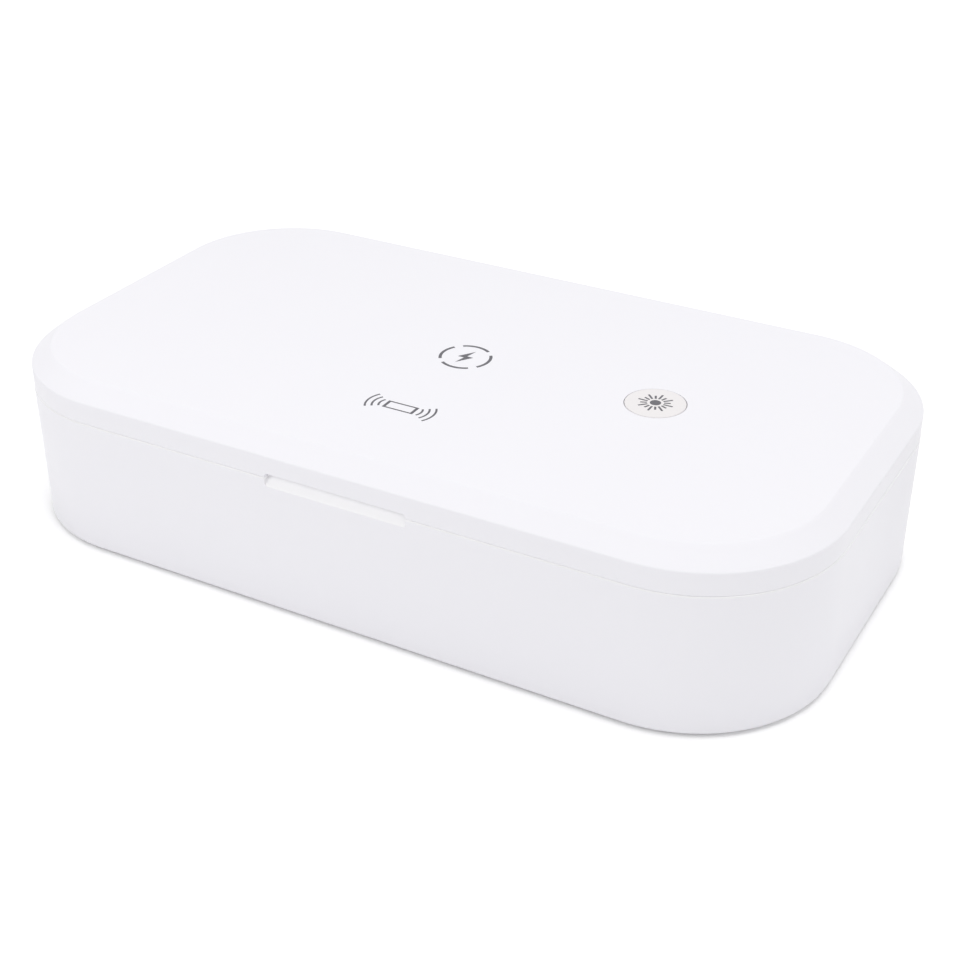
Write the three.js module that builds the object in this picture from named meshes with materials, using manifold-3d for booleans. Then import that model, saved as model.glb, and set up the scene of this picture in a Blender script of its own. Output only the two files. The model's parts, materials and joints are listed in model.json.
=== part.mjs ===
// A UV sanitizer box for phones: a rounded white box whose hinged lid charges a phone laid on it.
// A slim lamp behind a clear cover shines into the chamber from the floor and another from the lid.
// Frame: +X along the long side, -Y towards the finger notch, +Z up, and the origin on the table
// under the middle of the box. Lengths are in millimetres and angles in radians.

import * as THREE from "three";
import { mergeVertices } from "three/addons/utils/BufferGeometryUtils.js";
import Module from "manifold-3d";

const wasm = await Module();
wasm.setup();

// Overall sizes
const boxLength = 228;
const boxDepth = 128;
const boxHeight = 49;
const cornerRadius = 37.4;
const lidHeight = 10.2;
const partingGap = 0.4;
const chamferWidth = 5.7;
const chamferHeight = 4.3;

// Clearances shared by every piece
const fitGap = 0.3;
const seatGap = 0.1;
const cutOverrun = 5;

// Base shell
const baseWall = 2.2;
const baseDraft = 0.2;
const bottomEdgeRadius = 0.5;
const rimChamfer = 0.4;
const ledgeWidth = 2;
const ledgeThickness = 1.8;

// Bottom cover, its feet and its screws
const coverThickness = 2;
const footHeight = 1;
const footRadius = 6;
const footRecess = 0.6;
const footGap = 0.15;
const footEdge = 0.4;
const footInsetX = 38;
const footInsetY = 17;
const coverHeadRadius = 2.6;
const coverHeadHeight = 1.6;
const coverHeadSink = 0.5;
const coverShankRadius = 1.3;
const coverShankLength = 8;
const coverCollarWall = 1.4;
const coverCollarHeight = 1.6;

// Chamber liner
const chamberMargin = 16;
const chamberDraft = 1;
const chamberFloorRadius = 3;
const linerWall = 1.6;
const floorThickness = 1.8;
const flangeThickness = 1.6;
const flangeDrop = 0.3;
const lipClearance = 0.6;
const postRadius = 3.5;
const postGap = 2;
const ribWidth = 1.6;
const ribHeight = 4.6;
const ribEndMargin = 42;
const ribPairs = 5;
const ribWallGap = 5;
const ribWindowGap = 1.5;
const ribCrownShare = 0.25;
const wireSpace = 2;

// Lamp unit, the same moulding and tube in the floor and in the lid
const tubeRadius = 1.8;
const tubeEndMargin = 44;
const lampRise = 0.4;
const capRadius = 2.3;
const capLength = 6;
const capGrip = 4.5;
const capPinRadius = 0.5;
const capPinLength = 1.5;
const pocketWidth = 15;
const pocketSkin = 1;
const pocketEndRoom = 6;
const saddleFloor = 0.7;
const saddleLength = 4;
const reflectorThickness = 0.3;
const reflectorFlatWidth = 7;
const windowThickness = 0.9;
const windowFlange = 4;
const windowFlangeThickness = 1;
const humpClearance = 0.4;

// Lid shell
const lidTopWall = 2;
const lidSideWall = 2.2;
const lidEdgeChamfer = 0.3;
const lidBossRadius = 2.8;

// Lid liner and its screws
const borderThickness = 1.8;
const borderRecess = 0.1;
const panelThickness = 1.6;
const stepWall = 1.6;
const lipSideGap = 0.8;
const lidHeadRadius = 1.9;
const lidHeadHeight = 1;
const lidHeadSink = 0.2;
const lidShankRadius = 0.9;
const lidShankLength = 4.6;
const screwHoleGap = 0.2;

// The shape of every screw, as shares of its head and its shank
const screwCrownShare = 0.7;
const screwTipShare = 0.5;
const screwSlotLengthShare = 1.2;
const screwSlotWidthShare = 0.28;
const screwSlotDepthShare = 0.55;

// Finger notch
const notchLength = 40;
const notchBaseHeight = 2.5;
const notchLidHeight = 1;
const notchDepth = 1.8;

// Hinge
const knuckleRadius = 3;
const knuckleSetback = 0.2;
const knuckleClearance = 0.35;
const knuckleEndGap = 0.3;
const channelHeight = 4;
const railWall = 2.2;
const hingeEndMargin = 64;
const baseKnuckleLength = 8;
const lidKnuckleLength = 13;
const pinRadius = 0.9;
const pinClearance = 0.15;
const pinEndInset = 0.8;

// Wiring through the hinge and to the lamps
const harnessRadius = 1.1;
const harnessClearance = 0.35;
const harnessBarrelLength = 14;
const harnessTurnX = 7;
const harnessBend = 2.6;
const leadRadius = 0.5;
const leadHoleGap = 0.5;
const leadBend = 1.6;

// Wireless charging parts
const coilOuterRadius = 22;
const coilInnerRadius = 9;
const coilThickness = 1;
const coilTurns = 4;
const coilGrooveDepth = 0.25;
const ferriteOverlap = 2;
const ferriteThickness = 0.8;
const stackClearance = 0.6;
const chargingBoardLength = 54;
const chargingBoardWidth = 28;
const chargingBoardThickness = 1;
const chargingBoardEndMargin = 30;
const chargingBoardPocketGap = 4.5;
const standoffHeight = 0.8;
const standoffRadius = 2;
const chargingChipSize = 7;
const chargingChipHeight = 1;
const chargingChipShiftX = 12;

// Start button and its switch
const buttonEndMargin = 59.5;
const buttonRadius = 7.8;
const buttonHoleGap = 0.3;
const buttonTopThickness = 1.6;
const buttonFlange = 1.4;
const buttonFlangeThickness = 0.6;
const buttonSkirtWall = 1.4;
const buttonStemRadius = 1.6;
const buttonEdge = 0.25;
const buttonBoardLength = 24;
const buttonBoardWidth = 16;
const buttonBoardThickness = 0.8;
const boardPostRadius = 1.2;
const boardPostInset = 2;
const switchSize = 5.2;
const switchHeight = 0.8;
const plungerRadius = 1.2;
const plungerRise = 0.5;
const plungerDepth = 0.2;
const plungerGap = 0.15;
const wellFloor = 0.1;

// Main board and the pieces on it
const mainBoardLength = 68;
const mainBoardHeight = 22;
const mainBoardThickness = 1.2;
const mainBoardEndMargin = 40;
const mainBoardLift = 2;
const boardBossRadius = 2.2;
const boardBossLength = 1.4;
const boardHoleRadius = 1.1;
const boardScrewInset = 3.5;
const boardHeadRadius = 1.8;
const boardHeadHeight = 1;
const boardShankRadius = 0.8;
const boardShankLength = 2.6;
const socketWidth = 8.94;
const socketHeight = 3.26;
const socketWall = 0.3;
const socketMouthDepth = 6;
const socketTongueWidth = 6.6;
const socketTongueThickness = 0.7;
const socketTongueSetback = 0.6;
const socketRecess = 0.6;
const socketShiftX = 18;
const socketLift = 9;
const transformerWidth = 15;
const transformerHeight = 12;
const transformerDepth = 6.4;
const transformerWindingRadius = 4.6;
const transformerCoreShare = 0.6;
const transformerShiftX = -16;
const transformerLift = 10;
const capacitorRadius = 3.1;
const capacitorLength = 7;
const capacitorGroove = 0.3;
const capacitorGrooveShare = 0.15;
const capacitorShiftX = 2;
const capacitorLift = 8;
const controllerSize = 7;
const controllerHeight = 1;
const controllerShiftX = 2;
const controllerLift = 17;

// Magnets that hold the lid shut and the sensor that reads them
const magnetRadius = 2.5;
const magnetThickness = 2;
const magnetEndMargin = 54;
const magnetCupWall = 0.9;
const magnetSkin = 0.8;
const magnetGap = 0.15;
const sensorLength = 10;
const sensorHeight = 7;
const sensorThickness = 1;
const sensorShiftX = -14;
const sensorChipSize = 3;
const sensorChipHeight = 0.9;

// How finely round shapes are cut
const cornerSteps = 10;
const edgeSteps = 2;
const stadiumSteps = 5;
const roundSteps = 16;
const smallRoundSteps = 8;
const barSteps = 12;
const buttonSteps = 32;
const leadSides = 6;
const harnessSides = 8;
const bendSteps = 2;
const bendShare = 0.4;

// Heights worked out from the sizes above
const partingZ = boxHeight - lidHeight;
const baseRimZ = partingZ - partingGap / 2;
const lidRimZ = partingZ + partingGap / 2;
const baseBottomZ = footHeight;
const coverTopZ = baseBottomZ + coverThickness;
const lidUndersideZ = boxHeight - lidTopWall;
const chamferFootZ = boxHeight - chamferHeight;
const flangeTopZ = baseRimZ - flangeDrop;
const flangeBottomZ = flangeTopZ - flangeThickness;
const ledgeTopZ = flangeBottomZ - seatGap;
const pocketDepth = capRadius + saddleFloor + seatGap - lampRise;
const humpInnerHeight = lampRise + capRadius + humpClearance;
const humpHeight = humpInnerHeight + windowThickness;
const coverHeadZ = baseBottomZ + coverHeadSink;
const chamberFloorZ = coverTopZ + wireSpace + pocketSkin + pocketDepth;
const coilTopZ = lidUndersideZ - seatGap;
const coilBottomZ = coilTopZ - coilThickness;
const ferriteTopZ = coilBottomZ - seatGap;
const ferriteBottomZ = ferriteTopZ - ferriteThickness;
const panelZ = ferriteBottomZ - stackClearance - pocketSkin - pocketDepth;
const panelTopZ = panelZ + panelThickness;
const pocketTopZ = panelZ + pocketDepth + pocketSkin;
const lipTopZ = panelZ - lipClearance;
const borderBottomZ = lidRimZ + borderRecess;
const borderTopZ = borderBottomZ + borderThickness;
const lidHeadZ = borderBottomZ + lidHeadSink;
const baseMagnetZ = flangeTopZ - magnetSkin - seatGap - magnetThickness;
const lidMagnetZ = borderBottomZ + magnetSkin + seatGap;

// Insets from the outer outline worked out from the sizes above
const innerWallInset = baseWall + baseDraft;
const lipOuterInset = chamberMargin - linerWall;
const stepInnerInset = lipOuterInset - lipSideGap;
const stepOuterInset = stepInnerInset - stepWall;
const flangeInset = innerWallInset + fitGap;
const borderInset = lidSideWall + fitGap;

// Places worked out from the sizes above
const frontY = -boxDepth / 2;
const backY = boxDepth / 2;
const hingeY = backY - knuckleRadius - knuckleSetback;
const railFrontY = hingeY - knuckleRadius - knuckleClearance - railWall;
const cornerCentreX = boxLength / 2 - cornerRadius;
const cornerCentreY = boxDepth / 2 - cornerRadius;
const hingeOffset = boxLength / 2 - hingeEndMargin;
const buttonX = boxLength / 2 - buttonEndMargin;
const tubeLength = boxLength - 2 * tubeEndMargin;
const ribPitch = (boxLength - 2 * ribEndMargin) / (ribPairs - 1);
const runOutX = cornerCentreX + Math.sqrt(cornerRadius ** 2 - (hingeY - cornerCentreY) ** 2);
const railHalfLength = runOutX + railWall;
const postReach = cornerRadius - lipOuterInset + postGap + postRadius;
const postX = cornerCentreX + postReach * Math.SQRT1_2;
const postY = cornerCentreY + postReach * Math.SQRT1_2;
const pocketLength = tubeLength + 2 * (capLength - capGrip + capPinLength + pocketEndRoom);
const linerBackY = boxDepth / 2 - lipOuterInset;
const marginMidInset = (innerWallInset + ledgeWidth + lipOuterInset) / 2;
const magnetX = boxLength / 2 - magnetEndMargin;
const magnetY = frontY + marginMidInset;
const sensorX = magnetX + sensorShiftX;
const boardFrontY = linerBackY + boardBossLength + seatGap;
const boardBackY = boardFrontY + mainBoardThickness;
const boardBottomZ = coverTopZ + mainBoardLift;
const boardScrewZ = boardBottomZ + mainBoardHeight - boardScrewInset;
const mainBoardX = boxLength / 2 - mainBoardEndMargin - mainBoardLength / 2;
const socketX = mainBoardX + socketShiftX;
const transformerX = mainBoardX + transformerShiftX;
const capacitorX = mainBoardX + capacitorShiftX;
const controllerX = mainBoardX + controllerShiftX;
const capEndX = tubeLength / 2 + capLength - capGrip;
const leadHoleX = capEndX + capPinLength + pocketEndRoom / 2;
const footX = boxLength / 2 - footInsetX;
const footY = boxDepth / 2 - footInsetY;
const buttonBoardZ = pocketTopZ + seatGap;
const buttonBoardTopZ = buttonBoardZ + buttonBoardThickness;
const switchTopZ = buttonBoardTopZ + seatGap + switchHeight;
const plungerTopZ = switchTopZ + plungerRise;
const chargingBoardX = -boxLength / 2 + chargingBoardEndMargin + chargingBoardLength / 2;
const chargingBoardLowY = pocketWidth / 2 + pocketSkin + chargingBoardPocketGap;
const chargingBoardY = chargingBoardLowY + chargingBoardWidth / 2;
const lidLeadY = coilOuterRadius + ferriteOverlap + 4 * leadRadius;
const chargingBoardLowZ = panelTopZ + standoffHeight + seatGap;
const chargingBoardTopZ = chargingBoardLowZ + chargingBoardThickness;

// Materials
function material(color, roughness, metalness, extra = {}) {
  return new THREE.MeshStandardMaterial({ color, roughness, metalness, ...extra });
}

const whitePlastic = material(0xf3f2f6, 0.42, 0);
const buttonPlastic = material(0xf2f0f2, 0.4, 0);
const silverPlastic = material(0xc9cbce, 0.28, 0.85);
const clearPlastic = material(0xeaf1f6, 0.08, 0, { transparent: true, opacity: 0.35 });
const lampGlass = material(0xe6eefc, 0.05, 0, { transparent: true, opacity: 0.5 });
const brightAluminium = material(0xdadcdf, 0.15, 1);
const steel = material(0xa9abae, 0.3, 1);
const nickel = material(0xc4c3bd, 0.25, 1);
const rubber = material(0x3b3b3d, 0.9, 0);
const silicone = material(0xdcdcd8, 0.8, 0);
const copper = material(0xb06a38, 0.35, 1);
const ferriteBlack = material(0x2b2a2c, 0.7, 0);
const boardGreen = material(0x1f5f3a, 0.55, 0);
const chipBlack = material(0x1b1b1d, 0.6, 0);
const wireSleeve = material(0x2a2a2e, 0.6, 0);
const leadWhite = material(0xe4e4e6, 0.6, 0);

// Turns a closed three.js geometry into a solid that can be joined and cut.
function solidOf(geometry) {
  const bare = geometry.index ? geometry.toNonIndexed() : geometry.clone();
  for (const name of Object.keys(bare.attributes)) {
    if (name !== "position") bare.deleteAttribute(name);
  }
  const merged = mergeVertices(bare, 1e-4);
  const vertProperties = merged.attributes.position.array;
  const triVerts = new Uint32Array(merged.index.array);
  return new wasm.Manifold(new wasm.Mesh({ numProp: 3, vertProperties, triVerts }));
}

// Turns a solid back into a named mesh.
function meshOf(name, solid, finish) {
  const { vertProperties, triVerts } = solid.getMesh();
  const geometry = new THREE.BufferGeometry();
  geometry.setAttribute("position", new THREE.BufferAttribute(vertProperties, 3));
  geometry.setIndex(new THREE.BufferAttribute(triVerts, 1));
  const flat = geometry.toNonIndexed();
  flat.computeVertexNormals();
  const mesh = new THREE.Mesh(flat, finish);
  mesh.name = name;
  return mesh;
}

function placed(mesh, x, y, z) {
  mesh.position.set(x, y, z);
  return mesh;
}

function joined(...solids) {
  return solids.reduce((whole, next) => whole.add(next));
}

function less(solid, ...cuts) {
  return cuts.reduce((whole, next) => whole.subtract(next), solid);
}

// A closed rectangle with round corners, counter-clockwise from above.
function roundedRectangle(length, width, radius, steps) {
  const points = [];
  const centreX = length / 2 - radius;
  const centreY = width / 2 - radius;
  const quarters = [
    [1, 1, 0],
    [-1, 1, 1],
    [-1, -1, 2],
    [1, -1, 3],
  ];
  for (const [signX, signY, quarter] of quarters) {
    for (let k = 0; k <= steps; k += 1) {
      const angle = ((quarter + k / steps) * Math.PI) / 2;
      const x = signX * centreX + radius * Math.cos(angle);
      const y = signY * centreY + radius * Math.sin(angle);
      points.push(new THREE.Vector2(x, y));
    }
  }
  return points;
}

// The box's outline seen from above, drawn in by an inset.
function outline(inset) {
  return roundedRectangle(
    boxLength - 2 * inset,
    boxDepth - 2 * inset,
    cornerRadius - inset,
    cornerSteps,
  );
}

// A slot with round ends, counter-clockwise.
function stadium(length, width) {
  const points = [];
  const centreX = (length - width) / 2;
  for (const side of [1, -1]) {
    for (let k = 0; k <= 2 * stadiumSteps; k += 1) {
      const angle = (side > 0 ? 0 : Math.PI) + (k / (2 * stadiumSteps) - 0.5) * Math.PI;
      const x = side * centreX + (width / 2) * Math.cos(angle);
      points.push(new THREE.Vector2(x, (width / 2) * Math.sin(angle)));
    }
  }
  return points;
}

// A solid through matching outlines, one at each height, from the lowest up.
function loft(levels) {
  const count = levels[0].points.length;
  const positions = [];
  const indices = [];
  for (const { z, points } of levels) {
    for (const point of points) positions.push(point.x, point.y, z);
  }
  for (let level = 0; level < levels.length - 1; level += 1) {
    for (let k = 0; k < count; k += 1) {
      const next = (k + 1) % count;
      const low = level * count;
      const high = low + count;
      indices.push(low + k, low + next, high + next, low + k, high + next, high + k);
    }
  }
  const last = (levels.length - 1) * count;
  for (const [a, b, c] of THREE.ShapeUtils.triangulateShape(levels[0].points, [])) {
    indices.push(a, c, b);
  }
  for (const [a, b, c] of THREE.ShapeUtils.triangulateShape(levels.at(-1).points, [])) {
    indices.push(last + a, last + b, last + c);
  }
  const geometry = new THREE.BufferGeometry();
  geometry.setAttribute("position", new THREE.Float32BufferAttribute(positions, 3));
  geometry.setIndex(indices);
  return solidOf(geometry);
}

function prism(points, lowZ, highZ) {
  return loft([
    { z: lowZ, points },
    { z: highZ, points },
  ]);
}

// The same between two heights given in either order.
function prismBetween(points, oneZ, otherZ) {
  return prism(points, Math.min(oneZ, otherZ), Math.max(oneZ, otherZ));
}

function circle(x, y, radius, steps) {
  const points = [];
  for (let k = 0; k < steps; k += 1) {
    const angle = (k / steps) * 2 * Math.PI;
    points.push(new THREE.Vector2(x + radius * Math.cos(angle), y + radius * Math.sin(angle)));
  }
  return points;
}

function box(lowX, highX, lowY, highY, lowZ, highZ) {
  const geometry = new THREE.BoxGeometry(highX - lowX, highY - lowY, highZ - lowZ);
  geometry.translate((lowX + highX) / 2, (lowY + highY) / 2, (lowZ + highZ) / 2);
  return solidOf(geometry);
}

// A block centred on a point in plan, between two heights.
function block(x, y, length, width, lowZ, highZ) {
  return box(x - length / 2, x + length / 2, y - width / 2, y + width / 2, lowZ, highZ);
}

function rodAlongZ(x, y, lowZ, highZ, radius, steps = roundSteps) {
  const geometry = new THREE.CylinderGeometry(radius, radius, highZ - lowZ, steps);
  geometry.rotateX(Math.PI / 2);
  geometry.translate(x, y, (lowZ + highZ) / 2);
  return solidOf(geometry);
}

function rodAlongX(lowX, highX, y, z, radius, steps = roundSteps) {
  const geometry = new THREE.CylinderGeometry(radius, radius, highX - lowX, steps);
  geometry.rotateZ(Math.PI / 2);
  geometry.translate((lowX + highX) / 2, y, z);
  return solidOf(geometry);
}

function rodAlongY(x, lowY, highY, z, radius, steps = roundSteps) {
  const geometry = new THREE.CylinderGeometry(radius, radius, highY - lowY, steps);
  geometry.translate(x, (lowY + highY) / 2, z);
  return solidOf(geometry);
}

// Turns a profile of [radius, height] pairs about Z. The profile is closed or ends on the axis.
function turned(profile, steps) {
  const points = profile.map(([radius, height]) => new THREE.Vector2(radius, height));
  const geometry = new THREE.LatheGeometry(points, steps);
  geometry.rotateX(Math.PI / 2);
  return solidOf(geometry);
}

// Extrudes a [y, z] profile along X.
function barAlongX(profile, lowX, highX) {
  const shape = new THREE.Shape(profile.map(([y, z]) => new THREE.Vector2(y, z)));
  const geometry = new THREE.ExtrudeGeometry(shape, {
    depth: highX - lowX,
    bevelEnabled: false,
  });
  const turn = new THREE.Matrix4().makeBasis(
    new THREE.Vector3(0, 1, 0),
    new THREE.Vector3(0, 0, 1),
    new THREE.Vector3(1, 0, 0),
  );
  geometry.applyMatrix4(turn);
  geometry.translate(lowX, 0, 0);
  return solidOf(geometry);
}

// Extrudes an [x, z] outline along Y.
function slabAlongY(points, lowY, highY) {
  const geometry = new THREE.ExtrudeGeometry(new THREE.Shape(points), {
    depth: highY - lowY,
    bevelEnabled: false,
  });
  geometry.rotateX(Math.PI / 2);
  geometry.translate(0, highY, 0);
  return solidOf(geometry);
}

// A run of straight stretches whose corners are eased over a bend length. It is sampled point by
// point, so that a straight stretch takes one step however long it is.
class WireRun extends THREE.Curve {
  constructor(route, bend) {
    super();
    const corners = route.map((point) => new THREE.Vector3(...point));
    this.points = [corners[0]];
    for (let k = 1; k < corners.length - 1; k += 1) {
      const corner = corners[k];
      const toLast = corners[k - 1].clone().sub(corner);
      const toNext = corners[k + 1].clone().sub(corner);
      const reach = Math.min(bend, bendShare * toLast.length(), bendShare * toNext.length());
      const before = corner.clone().add(toLast.setLength(reach));
      const after = corner.clone().add(toNext.setLength(reach));
      const arc = new THREE.QuadraticBezierCurve3(before, corner, after);
      this.points.push(...arc.getPoints(bendSteps));
    }
    this.points.push(corners.at(-1));
  }

  getPoint(share, target = new THREE.Vector3()) {
    const place = Math.min(Math.max(share, 0), 1) * (this.points.length - 1);
    const index = Math.min(Math.floor(place), this.points.length - 2);
    return target.lerpVectors(this.points[index], this.points[index + 1], place - index);
  }

  getUtoTmapping(share) {
    return share;
  }
}

// A round wire or bore along a list of [x, y, z] points.
function wireAlong(route, bend, radius, ringSides) {
  const run = new WireRun(route, bend);
  const geometry = new THREE.ExtrudeGeometry(new THREE.Shape(circle(0, 0, radius, ringSides)), {
    steps: run.points.length - 1,
    extrudePath: run,
    bevelEnabled: false,
  });
  return solidOf(geometry);
}

// A screw that points up, its head's flat at z = 0 and its shank above the head.
function makeScrew(name, headRadius, headHeight, shankRadius, shankLength) {
  const crownRadius = headRadius * screwCrownShare;
  const crownHeight = headHeight * screwCrownShare;
  const tipRadius = shankRadius * screwTipShare;
  const length = headHeight + shankLength;
  const body = turned(
    [
      [0, 0],
      [crownRadius, 0],
      [headRadius, headHeight - crownHeight],
      [headRadius, headHeight],
      [shankRadius, headHeight],
      [shankRadius, length - tipRadius],
      [tipRadius, length],
      [0, length],
    ],
    smallRoundSteps,
  );
  const slotLength = headRadius * screwSlotLengthShare;
  const slotWidth = headRadius * screwSlotWidthShare;
  const slotDepth = headHeight * screwSlotDepthShare;
  const cross = joined(
    block(0, 0, slotLength, slotWidth, -cutOverrun, slotDepth),
    block(0, 0, slotWidth, slotLength, -cutOverrun, slotDepth),
  );
  return meshOf(name, less(body, cross), steel);
}

// The four corners and the two sides, with the words that name a piece there.
const corners = [
  ["front_left", -1, -1],
  ["front_right", 1, -1],
  ["back_left", -1, 1],
  ["back_right", 1, 1],
];
const sides = [
  ["left", -1],
  ["right", 1],
];

// One solid at each screw post, at the four corners of the margin.
function atPosts(make) {
  return corners.map(([, sideX, sideY]) => make(sideX * postX, sideY * postY));
}

function atMagnets(make) {
  return sides.map(([, side]) => make(side * magnetX, magnetY));
}

// The hinge: two groups of knuckles, and between them a hollow barrel for the wiring.
function baseKnuckleSpans() {
  const spans = [];
  const inner = lidKnuckleLength / 2 + knuckleEndGap;
  for (const [, side] of sides) {
    const centre = side * hingeOffset;
    spans.push([centre - inner - baseKnuckleLength, centre - inner]);
    spans.push([centre + inner, centre + inner + baseKnuckleLength]);
  }
  spans.push([knuckleEndGap / 2, harnessBarrelLength]);
  return spans;
}

function lidKnuckleSpans() {
  const spans = [[-harnessBarrelLength, -knuckleEndGap / 2]];
  for (const [, side] of sides) {
    const centre = side * hingeOffset;
    spans.push([centre - lidKnuckleLength / 2, centre + lidKnuckleLength / 2]);
  }
  return spans;
}

function knuckles(spans, radius, extra) {
  const rods = spans.map(([low, high]) =>
    rodAlongX(low - extra, high + extra, hingeY, partingZ, radius),
  );
  return joined(...rods);
}

function pinBores() {
  const reach = lidKnuckleLength / 2 + knuckleEndGap + baseKnuckleLength - pinEndInset;
  const bores = sides.map(([, side]) => {
    const centre = side * hingeOffset;
    const radius = pinRadius + pinClearance;
    return rodAlongX(centre - reach, centre + reach, hingeY, partingZ, radius, smallRoundSteps);
  });
  return joined(...bores);
}

// The wiring runs along the hinge axis, then turns down or up and inwards at 45 degrees. A bore for
// it starts a little before the barrel's end face.
function harnessRoute(side, overrun, tail) {
  const start = side * (knuckleEndGap / 2 - overrun);
  const x = side * (harnessTurnX + harnessBend);
  const diagonal = knuckleRadius + knuckleClearance + railWall;
  return [
    [start, hingeY, partingZ],
    [side * harnessTurnX, hingeY, partingZ],
    [x, hingeY - harnessBend / 2, partingZ - (side * harnessBend) / 2],
    [x, hingeY - diagonal, partingZ - side * diagonal],
    ...tail,
  ];
}

function baseHarnessRoute(overrun) {
  const x = transformerX - transformerWidth / 2;
  const y = boardBackY + harnessRadius + fitGap;
  const boardTopZ = boardBottomZ + mainBoardHeight;
  return harnessRoute(1, overrun, [[x, y, boardTopZ - harnessBend]]);
}

function lidHarnessRoute(overrun) {
  const x = -harnessTurnX - harnessBend;
  const z = chargingBoardTopZ + harnessRadius + fitGap;
  return harnessRoute(-1, overrun, [
    [x - harnessBend, railFrontY - harnessBend, z],
    [chargingBoardX + chargingBoardLength / 2 - harnessBend, lidLeadY + 2 * leadRadius, z],
  ]);
}

function harnessOf(route, radius) {
  return wireAlong(route, harnessBend, radius, harnessSides);
}

// The solid bar behind which the hinge turns, between two heights.
function railBar(lowZ, highZ) {
  return box(-railHalfLength, railHalfLength, railFrontY, backY, lowZ, highZ);
}

// What a liner's flange leaves free for the rail.
function railClearance() {
  const reach = railHalfLength + fitGap;
  return box(-reach, reach, railFrontY - fitGap, boxDepth, 0, boxHeight);
}

function hingeChannel(lowZ, highZ) {
  return box(-boxLength, boxLength, hingeY, boxDepth, lowZ, highZ);
}

// The base's outer wall, open above and below.
function makeBaseShell() {
  const levels = [];
  for (let k = 0; k <= edgeSteps; k += 1) {
    const angle = ((k / edgeSteps) * Math.PI) / 2;
    const inset = baseDraft + bottomEdgeRadius * (1 - Math.sin(angle));
    const z = baseBottomZ + bottomEdgeRadius * (1 - Math.cos(angle));
    levels.push({ z, points: outline(inset) });
  }
  levels.push({ z: baseRimZ - rimChamfer, points: outline(0) });
  levels.push({ z: baseRimZ, points: outline(rimChamfer) });
  const outer = loft(levels);
  const inside = joined(
    prism(outline(innerWallInset), baseBottomZ - cutOverrun, ledgeTopZ - ledgeThickness),
    prism(outline(innerWallInset + ledgeWidth), baseBottomZ, baseRimZ),
    prism(outline(innerWallInset), ledgeTopZ, baseRimZ + cutOverrun),
  );
  const channelBottomZ = partingZ - channelHeight;
  const rail = railBar(channelBottomZ - railWall, baseRimZ).intersect(outer);
  const swing = knuckles(lidKnuckleSpans(), knuckleRadius + knuckleClearance, knuckleEndGap);
  let shell = joined(less(outer, inside), rail);
  shell = less(shell, hingeChannel(channelBottomZ, boxHeight), swing);
  shell = joined(shell, knuckles(baseKnuckleSpans(), knuckleRadius, 0));
  const harnessBore = harnessOf(baseHarnessRoute(cutOverrun), harnessRadius + harnessClearance);
  shell = less(shell, pinBores(), harnessBore, notchScoop(), socketPort());
  return meshOf("base_shell", shell, whitePlastic);
}

// The finger notch is one round-ended slot across the parting line. In the lid it is a pocket that a
// fingertip lifts.
function notchSlot() {
  const lowZ = baseRimZ - notchBaseHeight;
  const highZ = lidRimZ + notchLidHeight;
  const slot = stadium(notchLength, highZ - lowZ).map(
    (point) => new THREE.Vector2(point.x, point.y + (lowZ + highZ) / 2),
  );
  return slabAlongY(slot, frontY - cutOverrun, frontY + notchDepth);
}

// In the base the slot's floor slopes up from the front face to the rim.
function notchScoop() {
  const lowZ = baseRimZ - notchBaseHeight;
  const slope = barAlongX(
    [
      [frontY - cutOverrun, lowZ],
      [frontY, lowZ],
      [frontY + notchDepth, baseRimZ],
      [frontY + notchDepth, baseRimZ + cutOverrun],
      [frontY - cutOverrun, baseRimZ + cutOverrun],
    ],
    -notchLength,
    notchLength,
  );
  return notchSlot().intersect(slope);
}

function socketPort() {
  const z = boardBottomZ + socketLift;
  const opening = stadium(socketWidth + 2 * fitGap, socketHeight + 2 * fitGap).map(
    (point) => new THREE.Vector2(point.x + socketX, point.y + z),
  );
  return slabAlongY(opening, backY - innerWallInset - cutOverrun, backY + cutOverrun);
}

// The plate that closes the base from below.
function makeBottomCover() {
  const headTopZ = coverHeadZ + coverHeadHeight;
  const plate = prism(outline(innerWallInset + fitGap), baseBottomZ, coverTopZ);
  const collars = atPosts((x, y) =>
    rodAlongZ(
      x,
      y,
      coverTopZ - seatGap,
      coverTopZ + coverCollarHeight,
      coverHeadRadius + coverCollarWall,
    ),
  );
  const headHoles = atPosts((x, y) =>
    rodAlongZ(x, y, 0, headTopZ + seatGap, coverHeadRadius + fitGap),
  );
  const shankHoles = atPosts((x, y) =>
    rodAlongZ(x, y, baseBottomZ, boxHeight, coverShankRadius + screwHoleGap, smallRoundSteps),
  );
  const recesses = corners.map(([, sideX, sideY]) =>
    rodAlongZ(sideX * footX, sideY * footY, 0, baseBottomZ + footRecess, footRadius + footGap),
  );
  const cover = less(joined(plate, ...collars), ...headHoles, ...shankHoles, ...recesses);
  return meshOf("bottom_cover", cover, whitePlastic);
}

function makeFoot(name) {
  const height = footHeight + footRecess - seatGap;
  const foot = turned(
    [
      [0, 0],
      [footRadius - footEdge, 0],
      [footRadius, footEdge],
      [footRadius, height],
      [0, height],
    ],
    roundSteps,
  );
  return meshOf(name, foot, rubber);
}

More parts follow.
